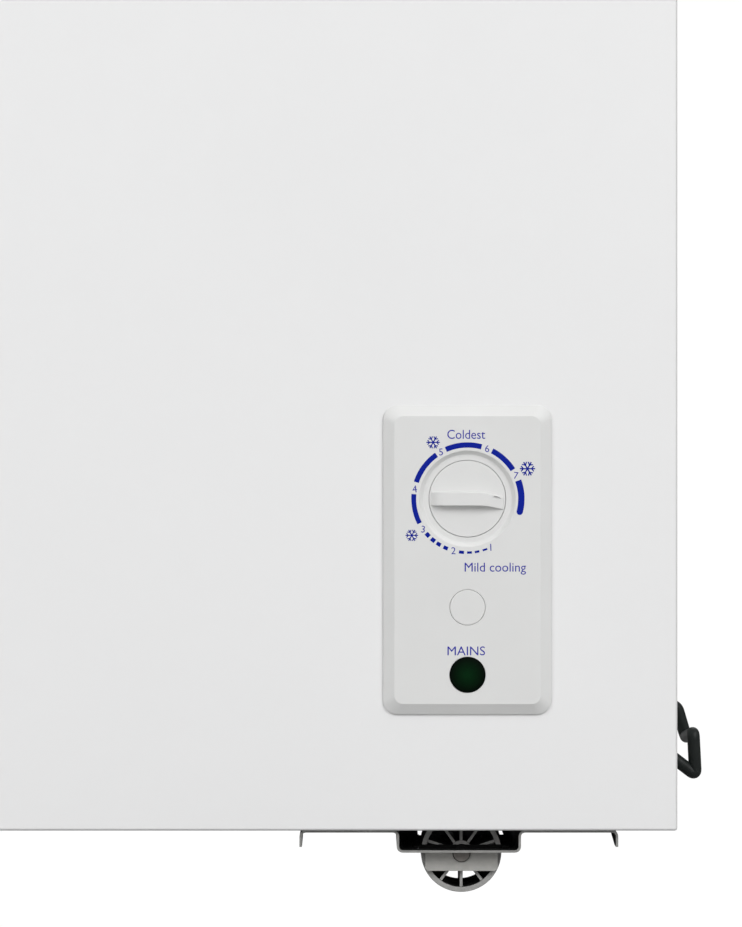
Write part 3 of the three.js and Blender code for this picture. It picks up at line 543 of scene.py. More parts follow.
def sweep(bm, path, radius, sides):
    """Adds a round rod along a path to a mesh under construction, without twist."""
    points = [Vector(p) for p in path]
    normal = None
    rings = []
    for i, here in enumerate(points):
        before = here - points[i - 1] if i else points[1] - here
        after = points[i + 1] - here if i + 1 < len(points) else before
        run = (before.normalized() + after.normalized()).normalized()
        if normal is None:
            normal = run.orthogonal().normalized()
        normal = (normal - run * normal.dot(run)).normalized()
        across = run.cross(normal)
        ring = []
        for k in range(sides):
            a = 2 * math.pi * k / sides
            ring.append(bm.verts.new(here + (normal * math.cos(a) + across * math.sin(a)) * radius))
        rings.append(ring)
    for low, high in zip(rings, rings[1:]):
        for k in range(sides):
            bm.faces.new((low[k], low[(k + 1) % sides], high[(k + 1) % sides], high[k]))
    bm.faces.new(rings[0][::-1])
    bm.faces.new(rings[-1])


def prism(bm, outline, place, low, high):
    """Adds an extruded flat outline. place(u, v, w) gives the point in space."""
    bottom = [bm.verts.new(place(p[0], p[1], low)) for p in outline]
    top = [bm.verts.new(place(p[0], p[1], high)) for p in outline]
    count = len(outline)
    for i in range(count):
        j = (i + 1) % count
        bm.faces.new((bottom[i], bottom[j], top[j], top[i]))
    bm.faces.new(bottom[::-1])
    bm.faces.new(top)


def block(name, low, high):
    bm = bmesh.new()
    corners = [(low.x, low.y), (high.x, low.y), (high.x, high.y), (low.x, high.y)]
    prism(bm, corners, lambda u, v, w: Vector((u, v, w)), low.z, high.z)
    return from_bmesh(name, bm)


def cut(obj, cutters, operation="DIFFERENCE"):
    """Applies a boolean with each cutter, then removes the cutters."""
    for cutter in cutters:
        tool = obj.modifiers.new("cut", "BOOLEAN")
        tool.operation = operation
        tool.solver = "EXACT"
        tool.object = cutter
    graph = bpy.context.evaluated_depsgraph_get()
    mesh = bpy.data.meshes.new_from_object(obj.evaluated_get(graph))
    obj.modifiers.clear()
    obj.data = mesh
    for cutter in cutters:
        bpy.data.objects.remove(cutter)
    bm = bmesh.new()
    bm.from_mesh(mesh)
    flatten(bm, 0.4)
    bm.to_mesh(mesh)
    bm.free()
    return obj


# ---- cabinet sheets

VENT_MARGIN = 0.008  # the vent's hole is this much smaller than the grille all round
PANEL_HOLE = Vector((42, 86))  # half its width and height, in millimetres
LOOP_HOLES = ((38.4, 200), (52.9, 252))  # millimetres over the cabinet's bottom and back from the front
LOOP_HOLE_RADIUS = 6.5


def wrap_openings():
    """Cutters for the vent, for the parts behind the panel and for the two ends of the rod loop."""
    low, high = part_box("side_vent_grille")
    margin = Vector((0, VENT_MARGIN, VENT_MARGIN))
    through = Vector((0.01, 0, 0))
    cutters = [block("cutter", Vector((RIGHT, low.y, low.z)) + margin - through,
                     Vector((RIGHT, high.y, high.z)) - margin + through),
               block("cutter", on_panel(*-PANEL_HOLE, 5), on_panel(*PANEL_HOLE, -5))]
    rod_hole = [(0, -5), (LOOP_HOLE_RADIUS, -5), (LOOP_HOLE_RADIUS, 5), (0, 5)]
    for above, back in LOOP_HOLES:
        centre = Vector((RIGHT, FRONT + back * MM, BOTTOM + above * MM))
        cutters.append(turned("cutter", rod_hole, lambda a, b, h, c=centre: c + Vector((h, a, b)) * MM, 32))
    return cutters


def build_wrap():
    """Front and both sides in one painted sheet, with rolled hems at top and bottom."""
    corner = 0.0020
    sheet = 0.0008
    hem = 0.014
    roll = 0.0016
    high, low = TOP - sheet / 2, BOTTOM + sheet / 2
    fold = [(hem, high), (sheet / 2, high), (sheet / 2, low), (hem, low)]
    section = thicken(bend_line(fold, roll, 6), sheet)

    def corner_rows(cx, cy, start, inward):
        rows = []
        for x, y in arc(0, 0, 1, start, start + 90, 8):
            row = []
            for inset, z in section:
                out, back = (corner - inset, 0) if inset <= corner else (0, inset - corner)
                row.append(Vector((cx + out * x + back * inward, cy + out * y + back, z)))
            rows.append(row)
        return rows

    rows = [[Vector((LEFT + inset, REAR, z)) for inset, z in section]]
    rows += corner_rows(LEFT + corner, FRONT + corner, 180, 1)
    rows += corner_rows(RIGHT - corner, FRONT + corner, 270, -1)
    rows.append([Vector((RIGHT - inset, REAR, z)) for inset, z in section])
    settle_as(cut(loft("painted_wrap", rows), wrap_openings()), "outer_wrap")


# ---- control panel


def build_bezel():
    slope, corner = 7.0, 9.0
    width = (BEZEL_HIGH.x - BEZEL_LOW.x) / MM
    height = (BEZEL_HIGH.z - BEZEL_LOW.z) / MM
    # a short wall, a straight slope, then a tight roll into the flat face
    layers = [(0.0, 0.3), (0.0, 1.1), (0.15, 1.45), (0.45, 1.7)]
    layers += [(slope - 0.45, FACE_W - 0.3), (slope - 0.15, FACE_W - 0.08), (slope + 0.35, FACE_W)]
    rings = []
    for inset, w in layers:
        outline = rounded_outline(width - 2 * inset, height - 2 * inset, corner - inset * 0.5, 12)
        rings.append([on_panel(u, v, w) for u, v in outline])
    body = loft("bezel", rings)

    dish, well, shaft_hole, floor = 30.0, 24.15, 4.0, 1.3
    below, above = -2, FACE_W + 2
    foot = FACE_W - 2.6
    # a nearly flat floor round the knob, then a steep wall that rolls into the face
    wall = [(-3.4, -0.02), (-2.4, 0.12), (-1.75, 0.55), (-0.95, 1.45), (-0.4, 2.15), (0.0, 2.5), (0.45, 2.62)]
    hollow = [(0, floor), (well, floor), (well, foot)]
    hollow += [(dish + out, foot + rise) for out, rise in wall]
    hollow += [(dish + wall[-1][0], above), (0, above)]
    shaft = [(0, below), (shaft_hole, below), (shaft_hole, floor + 1), (0, floor + 1)]
    cutters = [turned("cutter", profile, out_of_panel(KNOB_U, KNOB_V), 96) for profile in (hollow, shaft)]
    gap, lip = 0.2, 0.12
    for low, high in ((PLUG_LOW, PLUG_HIGH), (LENS_LOW, LENS_HIGH)):
        radius = (high.x - low.x) / 2 / MM + gap
        hole = [(0, below), (radius, below), (radius, FACE_W - lip), (radius + lip, FACE_W + 0.02),
                (radius + lip, above), (0, above)]
        cutters.append(turned("cutter", hole, out_of_panel(*panel_uv((low + high) / 2)), 64))
    settle_as(cut(body, cutters), "control_bezel", angle=24.0)


# Sizes of the knob in millimetres, its heights out of the front sheet
KNOB_RADIUS, KNOB_BACK, KNOB_FACE, GRIP = 23.85, 1.6, 3.3, 8.2
# along the grip bar: place, half height, shift of the middle, crest
GRIP_STATIONS = (
    (-22.6, 4.2, 0.0, KNOB_FACE + 0.3), (-20.6, 4.3, 0.0, KNOB_FACE + 2.2), (-18.4, 4.35, 0.0, GRIP - 1.1),
    (-15.0, 4.35, 0.0, GRIP - 0.3), (-8.0, 4.35, 0.0, GRIP), (4.0, 4.3, 0.0, GRIP),
    (9.0, 4.2, -0.2, GRIP - 0.15), (13.0, 4.1, -0.7, GRIP - 0.8), (17.0, 4.0, -1.6, GRIP - 2.0),
    (20.5, 3.9, -2.5, KNOB_FACE + 1.5), (22.4, 3.8, -3.0, KNOB_FACE + 0.5),
)


def grip_section(half, crest):
    """Outline across the grip bar, its two upper edges rolled."""
    low = KNOB_FACE - 0.9
    roll = min(0.5, (crest - low) * 0.3)
    return [(-half - 0.1, low), *arc(roll - half, crest - roll, roll, 180, 90, 3),
            *arc(half - roll, crest - roll, roll, 90, 0, 3), (half + 0.2, low)]


def build_knob():
    """Dial disc, with a grip bar that dips and swings down at its pointer end."""
    roll, shaft, shaft_end = 0.3, 3.0, -2.6
    edge = arc(KNOB_RADIUS - roll, KNOB_FACE - roll, roll, 90, 0, 3)
    profile = [(0, KNOB_FACE), *edge, (KNOB_RADIUS, KNOB_BACK), (shaft, KNOB_BACK),
               (shaft, shaft_end), (0, shaft_end)]
    disc = turned("knob", profile, out_of_panel(KNOB_U, KNOB_V), 96)
    bar = loft("cutter", [[on_panel(KNOB_U + u, KNOB_V + shift + v, w) for v, w in grip_section(half, crest)]
                          for u, half, shift, crest in GRIP_STATIONS])
    settle_as(cut(disc, [bar], "UNION"), "thermostat_knob", angle=38.0)


def build_pointer_mark():
    """Shallow groove that follows the fall of the grip bar."""
    line = bend_line([(16.4, 1.6), (18.4, 1.35), (20.6, 0.2)], 0.8, 3)
    fall, start = 0.62, 19
    bm = bmesh.new()
    prism(bm, thicken(line, 0.5),
          lambda u, v, w: on_panel(KNOB_U + u, KNOB_V + v, w + (start - u) * fall), 5.0, 5.75)
    settle(from_bmesh("knob_pointer_mark", bm), "knob", MARK, "white_plastic")


def build_plug_and_lens():
    base = -3
    radius = (PLUG_HIGH.x - PLUG_LOW.x) / 2 / MM
    cap = [(0, FACE_W - 0.02), (radius - 1.0, FACE_W - 0.03), (radius - 0.3, FACE_W - 0.1),
           (radius, FACE_W - 0.4), (radius, base), (0, base)]
    plug = turned("blank_cap", cap, out_of_panel(*panel_uv((PLUG_LOW + PLUG_HIGH) / 2)), 64)
    settle_as(plug, "blank_plug")
    radius = (LENS_HIGH.x - LENS_LOW.x) / 2 / MM
    rim, crown = FACE_W + 0.1, 1.05
    dome = [(radius * math.sin(math.radians(a)), rim + crown * math.cos(math.radians(a)))
            for a in range(0, 89, 8)]
    lens = turned("lens_dome", [*dome, (radius, FACE_W - 0.3), (radius, base), (0, base)],
                  out_of_panel(*panel_uv((LENS_LOW + LENS_HIGH) / 2)), 64)
    settle_as(lens, "pilot_lens", angle=60.0)


# ---- printing on the panel

INK_LOW, INK_HIGH = FACE_W - 0.03, FACE_W + 0.035
DIAL_RADIUS = 33.5
# clockwise degrees from the top, and the band's thickness in millimetres
BANDS = ((242.9, 275.0, 3.0), (287.9, 324.8, 3.2), (336.2, 15.1 + 360, 3.3), (27.2, 57.4, 3.4),
         (70.2, 104.0, 4.0))
# middle, length in degrees and thickness
DASHES = ((227.8, 4.9, 2.7), (219.9, 4.9, 2.6), (212.5, 4.9, 2.4), (204.0, 5.0, 2.3),
          (186.5, 5.4, 1.9), (177.9, 5.2, 1.5), (169.8, 5.0, 1.4), (161.1, 5.2, 1.2))
NUMERALS = (("1", 154.4), ("2", 195.2), ("3", 235.6), ("4", 280.4), ("5", 330.4), ("6", 21.4), ("7", 64.4))
NUMERAL_HEIGHT = 4.3
NUMERAL_LEAN = 0.1  # the share of its place on the dial that a numeral is turned by
# words, then the middle, width and height in millimetres
LEGENDS = (("Coldest", -0.8, 78.3, 23.6, 5.7), ("Mild cooling", 17.3, -5.3, 38.2, 7.4),
           ("MAINS", -0.8, -56.5, 23.4, 5.6))
SNOWFLAKES = ((-34.7, 15.4, 8.4), (-21.4, 73.3, 9.0), (37.3, 56.9, 10.3))


def on_dial(angle, radius):
    """Panel place at a clockwise angle from the top of the dial."""
    a = math.radians(angle)
    return KNOB_U + radius * math.sin(a), KNOB_V + radius * math.cos(a)


def band_outline(start, end, thickness, round_end=False):
    steps = max(3, int((end - start) / 2))
    angles = [start + (end - start) * i / steps for i in range(steps + 1)]
    outer = [on_dial(a, DIAL_RADIUS + thickness / 2) for a in angles]
    inner = [on_dial(a, DIAL_RADIUS - thickness / 2) for a in reversed(angles)]
    if not round_end:
        return outer + inner
    u, v = on_dial(end, DIAL_RADIUS)
    cap = arc(u, v, thickness / 2, 90 - end, 90 - end - 180, 8)[1:-1]
    return outer + cap + inner


def strip(start, end, width):
    side = (end - start).normalized().orthogonal() * width / 2
    return [start + side, end + side, end - side, start - side]


def add_print(bm, outline, lift=0.0):
    prism(bm, outline, on_panel, INK_LOW, INK_HIGH + lift)


def build_dial_band():
    bm = bmesh.new()
    for start, end, thickness in BANDS:
        add_print(bm, band_outline(start, end, thickness, end == BANDS[-1][1]))
    for at, length, thickness in DASHES:
        add_print(bm, band_outline(at - length / 2, at + length / 2, thickness))
    settle(from_bmesh("dial_band", bm), "cabinet", INK_BAND, "white_plastic")


def snowflake(bm, u, v, size):
    """Six arms, each with two branches; each stroke ends a little higher, so no two share a face."""
    radius = size / 2
    centre = Vector((u, v))
    for k in range(6):
        lift = 0.002 * k
        a = math.radians(60 * k)
        out = Vector((math.cos(a), math.sin(a)))
        add_print(bm, strip(centre, centre + out * radius * 0.93, size * 0.078), lift)
        root = centre + out * radius * 0.5
        for side in (-1, 1):
            branch = Matrix.Rotation(side * math.radians(50), 2) @ out
            add_print(bm, strip(root, root + branch * radius * 0.42, size * 0.07), 0.013 + lift)


def build_snowflakes():
    bm = bmesh.new()
    for u, v, size in SNOWFLAKES:
        snowflake(bm, u, v, size)
    settle(from_bmesh("snowflakes", bm), "cabinet", INK_BAND, "white_plastic")


def letters(bm, words, u, v, width, height, tilt=0.0):
    """Adds words as thin raised ink, fitted to a height, and a width if one is given, round (u, v)."""
    curve = bpy.data.curves.new("words", "FONT")
    curve.body = words
    curve.extrude = 0.02  # any thickness does, because both sides move to the ink's own heights
    curve.resolution_u = 4
    holder = add_object("words", curve)
    bpy.context.view_layer.update()
    mesh = bpy.data.meshes.new_from_object(holder.evaluated_get(bpy.context.evaluated_depsgraph_get()))
    bpy.data.objects.remove(holder)
    xs = [p.co.x for p in mesh.vertices]
    ys = [p.co.y for p in mesh.vertices]
    middle_u, middle_v = (max(xs) + min(xs)) / 2, (max(ys) + min(ys)) / 2
    scale_v = height / (max(ys) - min(ys))
    scale_u = width / (max(xs) - min(xs)) if width else scale_v
    turn = Matrix.Rotation(math.radians(-tilt), 2)
    for point in mesh.vertices:
        flat = turn @ Vector(((point.co.x - middle_u) * scale_u, (point.co.y - middle_v) * scale_v))
        w = INK_HIGH if point.co.z > 0 else INK_LOW
        point.co = on_panel(u + flat.x, v + flat.y, w)
    bm.from_mesh(mesh)
    bpy.data.meshes.remove(mesh)


def build_words():
    bm = bmesh.new()
    for digit, angle in NUMERALS:
        u, v = on_dial(angle, DIAL_RADIUS)
        signed = (angle + 180) % 360 - 180
        lean = signed if abs(signed) < 90 else signed - math.copysign(180, signed)
        letters(bm, digit, u, v, None, NUMERAL_HEIGHT, lean * NUMERAL_LEAN)
    settle(from_bmesh("dial_numerals", bm), "cabinet", INK_TEXT, "white_plastic")
    bm = bmesh.new()
    for words, u, v, width, height in LEGENDS:
        letters(bm, words, u, v, width, height)
    settle(from_bmesh("panel_legends", bm), "cabinet", INK_TEXT, "white_plastic")


# ---- casters


def caster_frame(node):
    """Place function of one caster, in millimetres: x across, y in from the cabinet's front or rear, z up."""
    low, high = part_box(node)
    centre = (low.x + high.x) / 2
    if low.y < 0:
        return lambda x, y, z: Vector((centre + x * MM, FRONT + y * MM, BOTTOM + z * MM))
    return lambda x, y, z: Vector((centre - x * MM, REAR - y * MM, BOTTOM + z * MM))


# Caster sizes in millimetres: near and far are measured in from the cabinet's front or rear, heights
# from its bottom
SHEET = 1.5
BRACKET_HALF, BRACKET_NEAR, BRACKET_FAR = 100, 5, 105
BRACKET_BEND = 3.6
TROUGH_HALF = 39
LIP_FOOT = -10.8
# the foot of each lip rises on a slant, from the first place to the second, up to a height
LIP_SLANT = (9, 60, -2.2)
SHIFT = 2.0  # the roller stands this far to one side of the bracket's middle
WINDOWS = ((SHIFT - 27.6, SHIFT + 27.6, 13, 58), (-24.4, -20.2, 62, 95.4), (29.1, 31.9, 62, 95.4))
AXLE_Z = -16.2
CARRIER_NEAR, CARRIER_FAR = 16.0, 55.5
CARRIER_TOP, CARRIER_FOOT = -11.1, -27.7
CARRIER_HALF, CARRIER_UPPER_HALF = 23.0, 27.3
WHEEL_RADIUS, RIM_INNER, HUB_RADIUS, BORE_RADIUS = 25.5, 22.1, 7.5, 3.3
WHEEL_NEAR, WHEEL_FAR = 20.0, 52.0
SPOKES, SPOKE_WIDTH = 10, 2.0


def along(place):
    """Place function for an outline across the caster that is extruded from front to back."""
    return lambda u, v, w: place(u, w, v)


def round_axle(place):
    return lambda a, b, h: place(SHIFT + a, h, AXLE_Z + b)


def build_bracket(name, place):
    half = SHEET / 2
    flange, trough, bottom, end = -0.3 - half, TROUGH_HALF - half, TROUGH_FLOOR + half, BRACKET_HALF - half
    fold = [(-end, LIP_FOOT), (-end, flange), (-trough, flange), (-trough, bottom)]
    fold += [(-x, z) for x, z in reversed(fold)]
    line = bend_line(fold, BRACKET_BEND, 8)
    bm = bmesh.new()
    prism(bm, thicken(line, SHEET), along(place), BRACKET_NEAR, BRACKET_FAR)
    bracket = from_bmesh("hat_bracket_" + name, bm)
    bm = bmesh.new()
    for left, right, near, far in WINDOWS:
        corners = [(left, near), (right, near), (right, far), (left, far)]
        prism(bm, corners, place, TROUGH_FLOOR - 1.6, TROUGH_FLOOR + 3.4)
    cutters = [from_bmesh("cutter", bm)]
    below, beyond, side = LIP_FOOT - 1, BRACKET_FAR + 1, 4
    near, far, height = LIP_SLANT
    slant = [(near, below), (far, height), (beyond, height), (beyond, below)]
    for hand in (-1, 1):
        bm = bmesh.new()
        inner, outer = hand * (BRACKET_HALF - side), hand * (BRACKET_HALF + side)
        prism(bm, slant, lambda u, v, w: place(w, u, v), inner, outer)
        cutters.append(from_bmesh("cutter", bm))
    settle_as(cut(bracket, cutters), "caster_bracket_" + name, bevel=0.00018)


def build_carrier(name, place):
    """Two ears that hold the axle, joined on both sides by bars with flanges over the trough's floor."""
    corner, flange = 1.6, 3
    right = [(CARRIER_HALF - corner, CARRIER_FOOT), (CARRIER_HALF, CARRIER_FOOT + corner),
             (CARRIER_HALF, TROUGH_FLOOR), (CARRIER_UPPER_HALF, TROUGH_FLOOR),
             (CARRIER_UPPER_HALF, CARRIER_TOP)]
    ear = [(SHIFT - u, v) for u, v in reversed(right)] + [(SHIFT + u, v) for u, v in right]
    bm = bmesh.new()
    for near in (CARRIER_NEAR, CARRIER_FAR - SHEET):
        prism(bm, ear, along(place), near, near + SHEET)
    for hand in (-1, 1):
        inner, outer, edge = (SHIFT + hand * (CARRIER_UPPER_HALF + out) for out in (-SHEET, 0, flange))
        under = CARRIER_TOP - SHEET
        bar = [(inner, TROUGH_FLOOR), (outer, TROUGH_FLOOR), (outer, under), (edge, under),
               (edge, CARRIER_TOP), (inner, CARRIER_TOP)]
        prism(bm, bar, along(place), CARRIER_NEAR - 4, CARRIER_FAR + 2.5)
    carrier = from_bmesh("roller_carrier_" + name, bm)
    settle_as(carrier, "caster_carrier_" + name, CARRIER_STEEL, bevel=0.0002)


def build_axle(name, place):
    """Pin with a broad rolled head at the front and a smaller riveted one at the back."""
    head, tail, shaft, gap = 5.7, 4.5, 3.0, 0.3
    seat, back = CARRIER_NEAR - gap, CARRIER_FAR + gap
    profile = [(0, seat - 1.8), (head - 1.4, seat - 1.8), (head - 0.5, seat - 1.6), (head, seat - 1),
               (head, seat), (shaft, seat), (shaft, back), (tail, back), (tail, back + 1),
               (tail - 0.7, back + 1.5), (0, back + 1.5)]
    axle = turned("axle_pin_" + name, profile, round_axle(place), 40)
    settle_as(axle, "caster_axle_" + name, AXLE_STEEL)


def half_rim(end, inward):
    """One rolled side of the rim, from its inner edge out; inward is the way to the other side."""
    roll, small = 0.5, 0.2
    return [(RIM_INNER, end + inward * small), (RIM_INNER + small, end), (WHEEL_RADIUS - roll, end),
            (WHEEL_RADIUS - roll * 0.3, end + inward * roll * 0.3), (WHEEL_RADIUS, end + inward * roll)]


def half_hub(end, inward):
    small = 0.4
    return [(BORE_RADIUS, end), (HUB_RADIUS - small, end), (HUB_RADIUS, end + inward * small)]


def build_wheel(name, place):
    """Spoked roller: a rim with rolled edges, a hub and ten thin webs."""
    rim = half_rim(WHEEL_NEAR, 1) + half_rim(WHEEL_FAR, -1)[::-1]
    hub = half_hub(WHEEL_NEAR + 1, 1) + half_hub(WHEEL_FAR - 1, -1)[::-1]
    bm = bmesh.new()
    for profile, segments in ((rim, 90), (hub, 40)):
        ring = turned("ring", [*profile, profile[0]], round_axle(place), segments)
        bm.from_mesh(ring.data)
        bpy.data.objects.remove(ring)
    overlap, inset = 0.3, 0.6
    for k in range(SPOKES):
        a = math.radians(360 / SPOKES * k - 90)
        run = Vector((math.cos(a), math.sin(a)))
        web = strip(run * (HUB_RADIUS - overlap), run * (RIM_INNER + overlap), SPOKE_WIDTH)
        prism(bm, web, round_axle(place), WHEEL_NEAR + inset, WHEEL_FAR - inset)
    bmesh.ops.recalc_face_normals(bm, faces=bm.faces)
    wheel = as_built("roller_" + name, bm)
    settle_as(wheel, "caster_wheel_" + name, bevel=0.00015, steps=1, angle=50.0)


def build_casters():
    for name in ("front_left", "front_right", "rear_left", "rear_right"):
        place = caster_frame("caster_bracket_" + name)
        build_bracket(name, place)
        build_carrier(name, place)
        build_axle(name, place)
        build_wheel(name, place)


# ---- cord wrap loop

LOOP_ROD, LOOP_BEND = 4.5, 4.4
# Millimetres out of the right side, over the cabinet's bottom, back from the front
LOOP_POINTS = ((-6, 43, 200), (38.1, 9.3, 200), (36.6, 38.8, 200), (38.1, 30.2, 252), (31.4, 52.9, 252),
               (-6, 52.9, 252))


def build_loop():
    corners = [Vector((RIGHT + x * MM, FRONT + back * MM, BOTTOM + z * MM)) for x, z, back in LOOP_POINTS]
    bm = bmesh.new()
    sweep(bm, bend_line(corners, LOOP_BEND * MM, 10), LOOP_ROD * MM, 28)
    settle_as(from_bmesh("wrap_loop", bm), "cord_wrap_loop", angle=60.0)


# ---- lid


def build_lid_skin():
    low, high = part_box("lid_outer_skin")
    centre = (low + high) / 2
    width, depth = high.x - low.x, high.y - low.y
    corner, edge, sheet = 0.010, 0.006, 0.001

    def layer(inset, z, trim=0.0):
        outline = rounded_outline(width - 2 * inset, depth - 2 * inset, corner - trim, 8)
        return [Vector((centre.x + u, centre.y + v, z)) for u, v in outline]

    def rise(inset, top, radius):
        rows = []
        for i in range(9):
            a = math.radians(90 * i / 8)
            step = radius * (1 - math.cos(a))
            rows.append(layer(inset + step, top - radius + radius * math.sin(a), inset + step * 0.6))
        return rows

    rows = list(reversed(rise(sheet, high.z - sheet, edge - sheet)))
    rows += [layer(sheet, low.z + 0.0005, sheet), layer(sheet * 0.6, low.z, sheet * 0.6),
             layer(sheet * 0.3, low.z, 0), layer(0, low.z + 0.0004)]
    rows += rise(0.0, high.z, edge)
    settle_as(loft("lid_shell", rows), "lid_outer_skin", angle=40.0)


def build_gasket():
    """Bellows gasket: a lip and a magnet fold, swept round the lid."""
    low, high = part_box("lid_gasket")
    centre = (low + high) / 2
    width, depth, tall = high.x - low.x, high.y - low.y, high.z - low.z
    section = [(0.0, 0.15), (0.4, 0.0), (13.6, 0.0), (14.0, 0.15), (14.0, 0.30), (12.6, 0.42), (12.6, 0.55),
               (14.0, 0.68), (14.0, 0.88), (13.2, 1.0), (0.8, 1.0), (0.0, 0.88), (0.0, 0.68), (1.4, 0.55),
               (1.4, 0.42), (0.0, 0.30)]
    rings = []
    for inset, level in section:
        outline = rounded_outline(width - 2 * inset * MM, depth - 2 * inset * MM, 0.018 - inset * MM, 6)
        rings.append([Vector((centre.x + u, centre.y + v, low.z + level * tall)) for u, v in outline])
    points = [p for ring in rings for p in ring]
    piece = from_faces("bellows_gasket", points, ring_faces(len(rings), len(rings[0]), looped=True))
    settle_as(piece, "lid_gasket", angle=50.0)


# ---- basket


def build_basket():
    low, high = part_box("wire_basket")
    hang = 0.016  # the rim rods reach this far past the basket at front and back
    edge = 0.003
    left, right, near, far = low.x + edge, high.x - edge, low.y + hang + edge, high.y - hang - edge
    base, rim = low.z + 0.002, high.z - edge
    thin = 0.0013
    rows, columns = 15, 9
    bm = bmesh.new()

    def wire(points, radius, bend=0.012, closed=False):
        if closed:
            start = (Vector(points[0]) + Vector(points[1])) / 2
            points = [start, *points[1:], points[0], start + (Vector(points[0]) - Vector(points[1])) * 1e-4]
        sweep(bm, bend_line(points, bend, 4), radius, 10)

    def loop(z, radius):
        wire([(left, near, z), (right, near, z), (right, far, z), (left, far, z)], radius, 0.014, True)

    loop(rim, 0.0027)
    for z in (base + 0.05, base + 0.1, base + 0.15):
        loop(z, 0.0014)
    for i in range(1, columns):
        x = left + (right - left) * i / columns
        wire([(x, near, rim), (x, near, base), (x, far, base), (x, far, rim)], thin)
    for i in range(1, rows):
        y = near + (far - near) * i / rows
        wire([(left, y, rim), (left, y, base), (right, y, base), (right, y, rim)], thin)
    for x in (left, right):
        sweep(bm, [(x, low.y + edge, rim), (x, high.y - edge, rim)], 0.0029, 12)
    settle_as(as_built("hanging_basket", bm), "wire_basket", angle=60.0)


# ---- screws


def screw_head():
    """One pan-head screw with a cross recess, its axis along z and its seat at the origin."""
    radius, wall, crown = 4.0, 0.7, 1.5
    dome = [(radius * math.sin(math.radians(a)), wall + crown * math.cos(math.radians(a)))
            for a in range(0, 91, 15)]
    head = turned("screw", [*dome, (radius, 0), (0, 0)], lambda a, b, h: Vector((a, b, h)) * MM, 24)
    bars = [block("cutter", Vector((-u, -v, 1.1)) * MM, Vector((u, v, 3)) * MM)
            for u, v in ((2.3, 0.45), (0.45, 2.3))]
    return cut(head, bars)


def screw_places():
    """Seat and outward direction of each screw of the hinges, the rear cover and the vent grille."""
    places = {"cabinet": [], "lid": []}
    back, right = Vector((0, 1, 0)), Vector((1, 0, 0))
    plate, leaf_gap = 2.5 * MM, 0.3 * MM
    for side in ("left", "right"):
        low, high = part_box("hinge_bracket_" + side)
        x = (low.x + high.x) / 2
        places["cabinet"] += [(Vector((x + dx, low.y + plate, low.z + dz)), back)
                              for dx in (-0.012, 0.012) for dz in (0.014, 0.050)]
        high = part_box("hinge_leaf_" + side)[1]
        places["lid"] += [(Vector((x + dx, LID_REAR + leaf_gap + plate, high.z - dz)), back)
                          for dx in (-0.014, 0.014) for dz in (0.010, 0.028)]
    low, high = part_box("compressor_cover")
    places["cabinet"] += [(Vector((x, REAR, z)), back) for x in (low.x + 0.010, high.x - 0.010)
                          for z in (low.z + 0.012, (low.z + high.z) / 2, high.z - 0.012)]
    low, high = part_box("side_vent_grille")
    places["cabinet"] += [(Vector((high.x, y, z)), right) for y in (low.y + 0.007, high.y - 0.007)
                          for z in (low.z + 0.007, high.z - 0.007)]
    return places


def build_screws():
    master = screw_head()
    for body, places in screw_places().items():
        bm = bmesh.new()
        for place, out in places:
            turn = out.to_track_quat("Z", "Y").to_matrix().to_4x4()
            copy = master.data.copy()
            copy.transform(Matrix.Translation(place) @ turn)
            bm.from_mesh(copy)
            bpy.data.meshes.remove(copy)
        settle(as_built(body + "_screws", bm), body, MATERIALS["bare_steel"], "bare_steel")
    bpy.data.objects.remove(master)


# ---- the rest of the frame

REFINED = {  # bevel width in millimetres
    "rear_panel": 0.2, "base_pan": 0.2, "top_breaker_collar": 1.2, "inner_liner": 0.4,
    "compressor_cover": 0.2, "compartment_lining": 0.2, "side_vent_grille": 0.6, "cord_inlet_gland": 0.6,
    "lid_inner_panel": 0.4, "lid_handle": 1.6, "drain_tube": 0.4, "drain_plug": 0.5,
    "compressor_shell": 0, "compressor_mount_plate": 0.5, "start_relay_box": 1.5,
    "suction_pipe": 0, "discharge_pipe": 0, "filter_drier": 0, "thermostat_body": 1.2, "pilot_lamp_body": 0.5,
    "compressor_foot_1": 0, "compressor_foot_2": 0, "compressor_foot_3": 0, "compressor_foot_4": 0,
    "hinge_bracket_left": 0.5, "hinge_bracket_right": 0.5, "hinge_leaf_left": 0.5, "hinge_leaf_right": 0.5,
    "hinge_pin_left": 0.4, "hinge_pin_right": 0.4,
}
KEPT = ("foam_body", "lid_foam", "evaporator_coil", "condenser_coil")


def refine(node, bevel):
    """Rebuilds a CAD node as clean flat faces with soft edges."""
    bm = bmesh.new()
    bm.from_mesh(NODES[node].data)
    flatten(bm, 0.8)
    settle_as(from_bmesh("fine_" + node, bm), node, bevel=bevel * MM, steps=3 if bevel > 1 else 2)


def build_rest():
    for node, bevel in REFINED.items():
        refine(node, bevel)
    for node in KEPT:
        NODES[node].data.materials.clear()
        NODES[node].data.materials.append(MATERIALS[SLOT_OF[node]])


# ---- stage and light

FLOOR_HALF = 14.0
FLOOR_GREY = 0.45
WHITE_GLOW = 1.02
AMBIENT = 0.53
HORIZON = 0.1
# name, place, size, watts: places in metres from the middle of the floor
LIGHTS = (
    ("key", (3.3, -4.5, 3.9), 3.6, 236.0),
    ("fill", (-2.4, -3.4, 2.2), 3.0, 74.0),
    ("back", (0.6, 3.6, 3.0), 3.0, 44.0),
)
AIM = Vector((0.1, 0, 0.4))


def empty_tree(owner):
    owner.use_nodes = True
    owner.node_tree.nodes.clear()
    return owner.node_tree


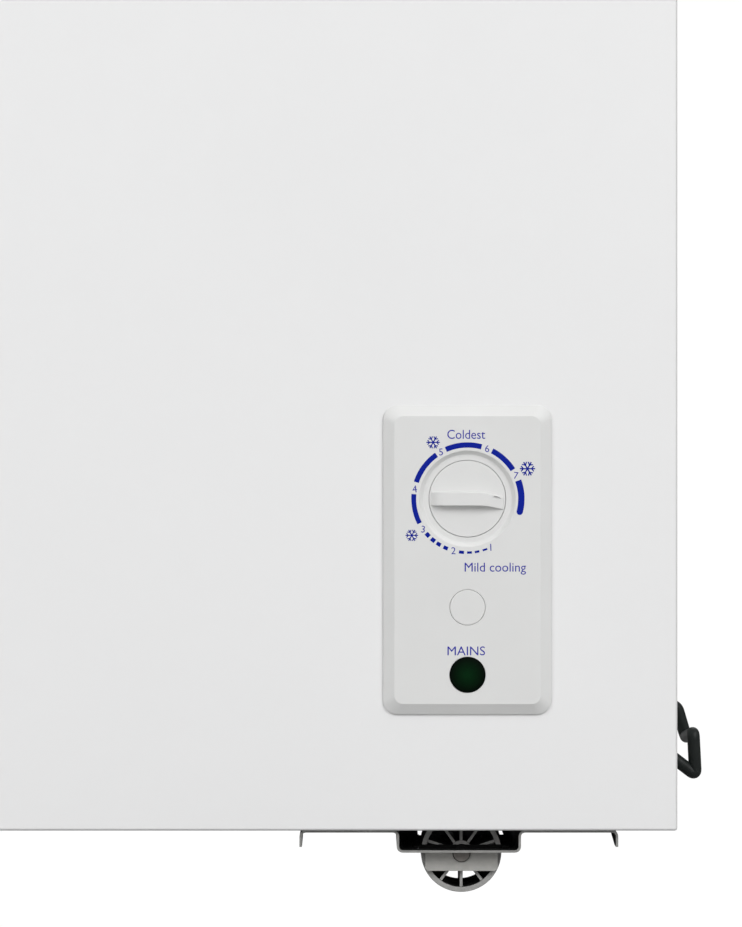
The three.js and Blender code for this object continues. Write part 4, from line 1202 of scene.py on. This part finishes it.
def white_to_camera(tree, output, white, lit):
    """Ends a tree so that the camera sees plain white, while the lit shader is what lights the object."""
    glow = tree.nodes.new(white)
    glow.inputs["Color"].default_value = (1, 1, 1, 1)
    glow.inputs["Strength"].default_value = WHITE_GLOW
    choose = tree.nodes.new("ShaderNodeMixShader")
    rays = tree.nodes.new("ShaderNodeLightPath")
    end = tree.nodes.new(output)
    tree.links.new(rays.outputs["Is Camera Ray"], choose.inputs[0])
    tree.links.new(lit.outputs[0], choose.inputs[1])
    tree.links.new(glow.outputs[0], choose.inputs[2])
    tree.links.new(choose.outputs[0], end.inputs[0])


def build_floor():
    corners = [(x * FLOOR_HALF, y * FLOOR_HALF, 0) for x, y in ((-1, -1), (1, -1), (1, 1), (-1, 1))]
    floor = from_faces("floor", corners, [(0, 1, 2, 3)])
    material = bpy.data.materials.new("pale_floor")
    tree = empty_tree(material)
    matte = tree.nodes.new("ShaderNodeBsdfDiffuse")
    matte.inputs["Color"].default_value = (FLOOR_GREY, FLOOR_GREY, FLOOR_GREY, 1)
    white_to_camera(tree, "ShaderNodeOutputMaterial", "ShaderNodeEmission", matte)
    floor.data.materials.append(material)


def build_world():
    """Even light from above that fades to a dim horizon."""
    world = bpy.data.worlds.new("studio")
    SCENE.world = world
    tree = empty_tree(world)
    ambient = tree.nodes.new("ShaderNodeBackground")
    ambient.inputs["Strength"].default_value = AMBIENT
    place = tree.nodes.new("ShaderNodeTexCoord")
    split = tree.nodes.new("ShaderNodeSeparateXYZ")
    height = tree.nodes.new("ShaderNodeValToRGB")
    for element, position, value in zip(height.color_ramp.elements, (0.14, 0.45), (HORIZON, 1)):
        element.position = position
        element.color = (value, value, value, 1)
    tree.links.new(place.outputs["Generated"], split.inputs[0])
    tree.links.new(split.outputs["Z"], height.inputs[0])
    tree.links.new(height.outputs[0], ambient.inputs[0])
    white_to_camera(tree, "ShaderNodeOutputWorld", "ShaderNodeBackground", ambient)


def build_lights():
    for name, place, size, watts in LIGHTS:
        data = bpy.data.lights.new(name, "AREA")
        data.size = size
        data.energy = watts
        light = bpy.data.objects.new(name, data)
        light.visible_camera = False
        light.location = place
        light.rotation_euler = (AIM - Vector(place)).to_track_quat("-Z", "Y").to_euler()
        SCENE.collection.objects.link(light)


SCENE.view_settings.view_transform = "Standard"
build_wrap()
build_bezel()
build_knob()
build_pointer_mark()
build_plug_and_lens()
build_dial_band()
build_snowflakes()
build_words()
build_casters()
build_loop()
build_lid_skin()
build_gasket()
build_basket()
build_screws()
build_rest()
build_floor()
build_world()
build_lights()
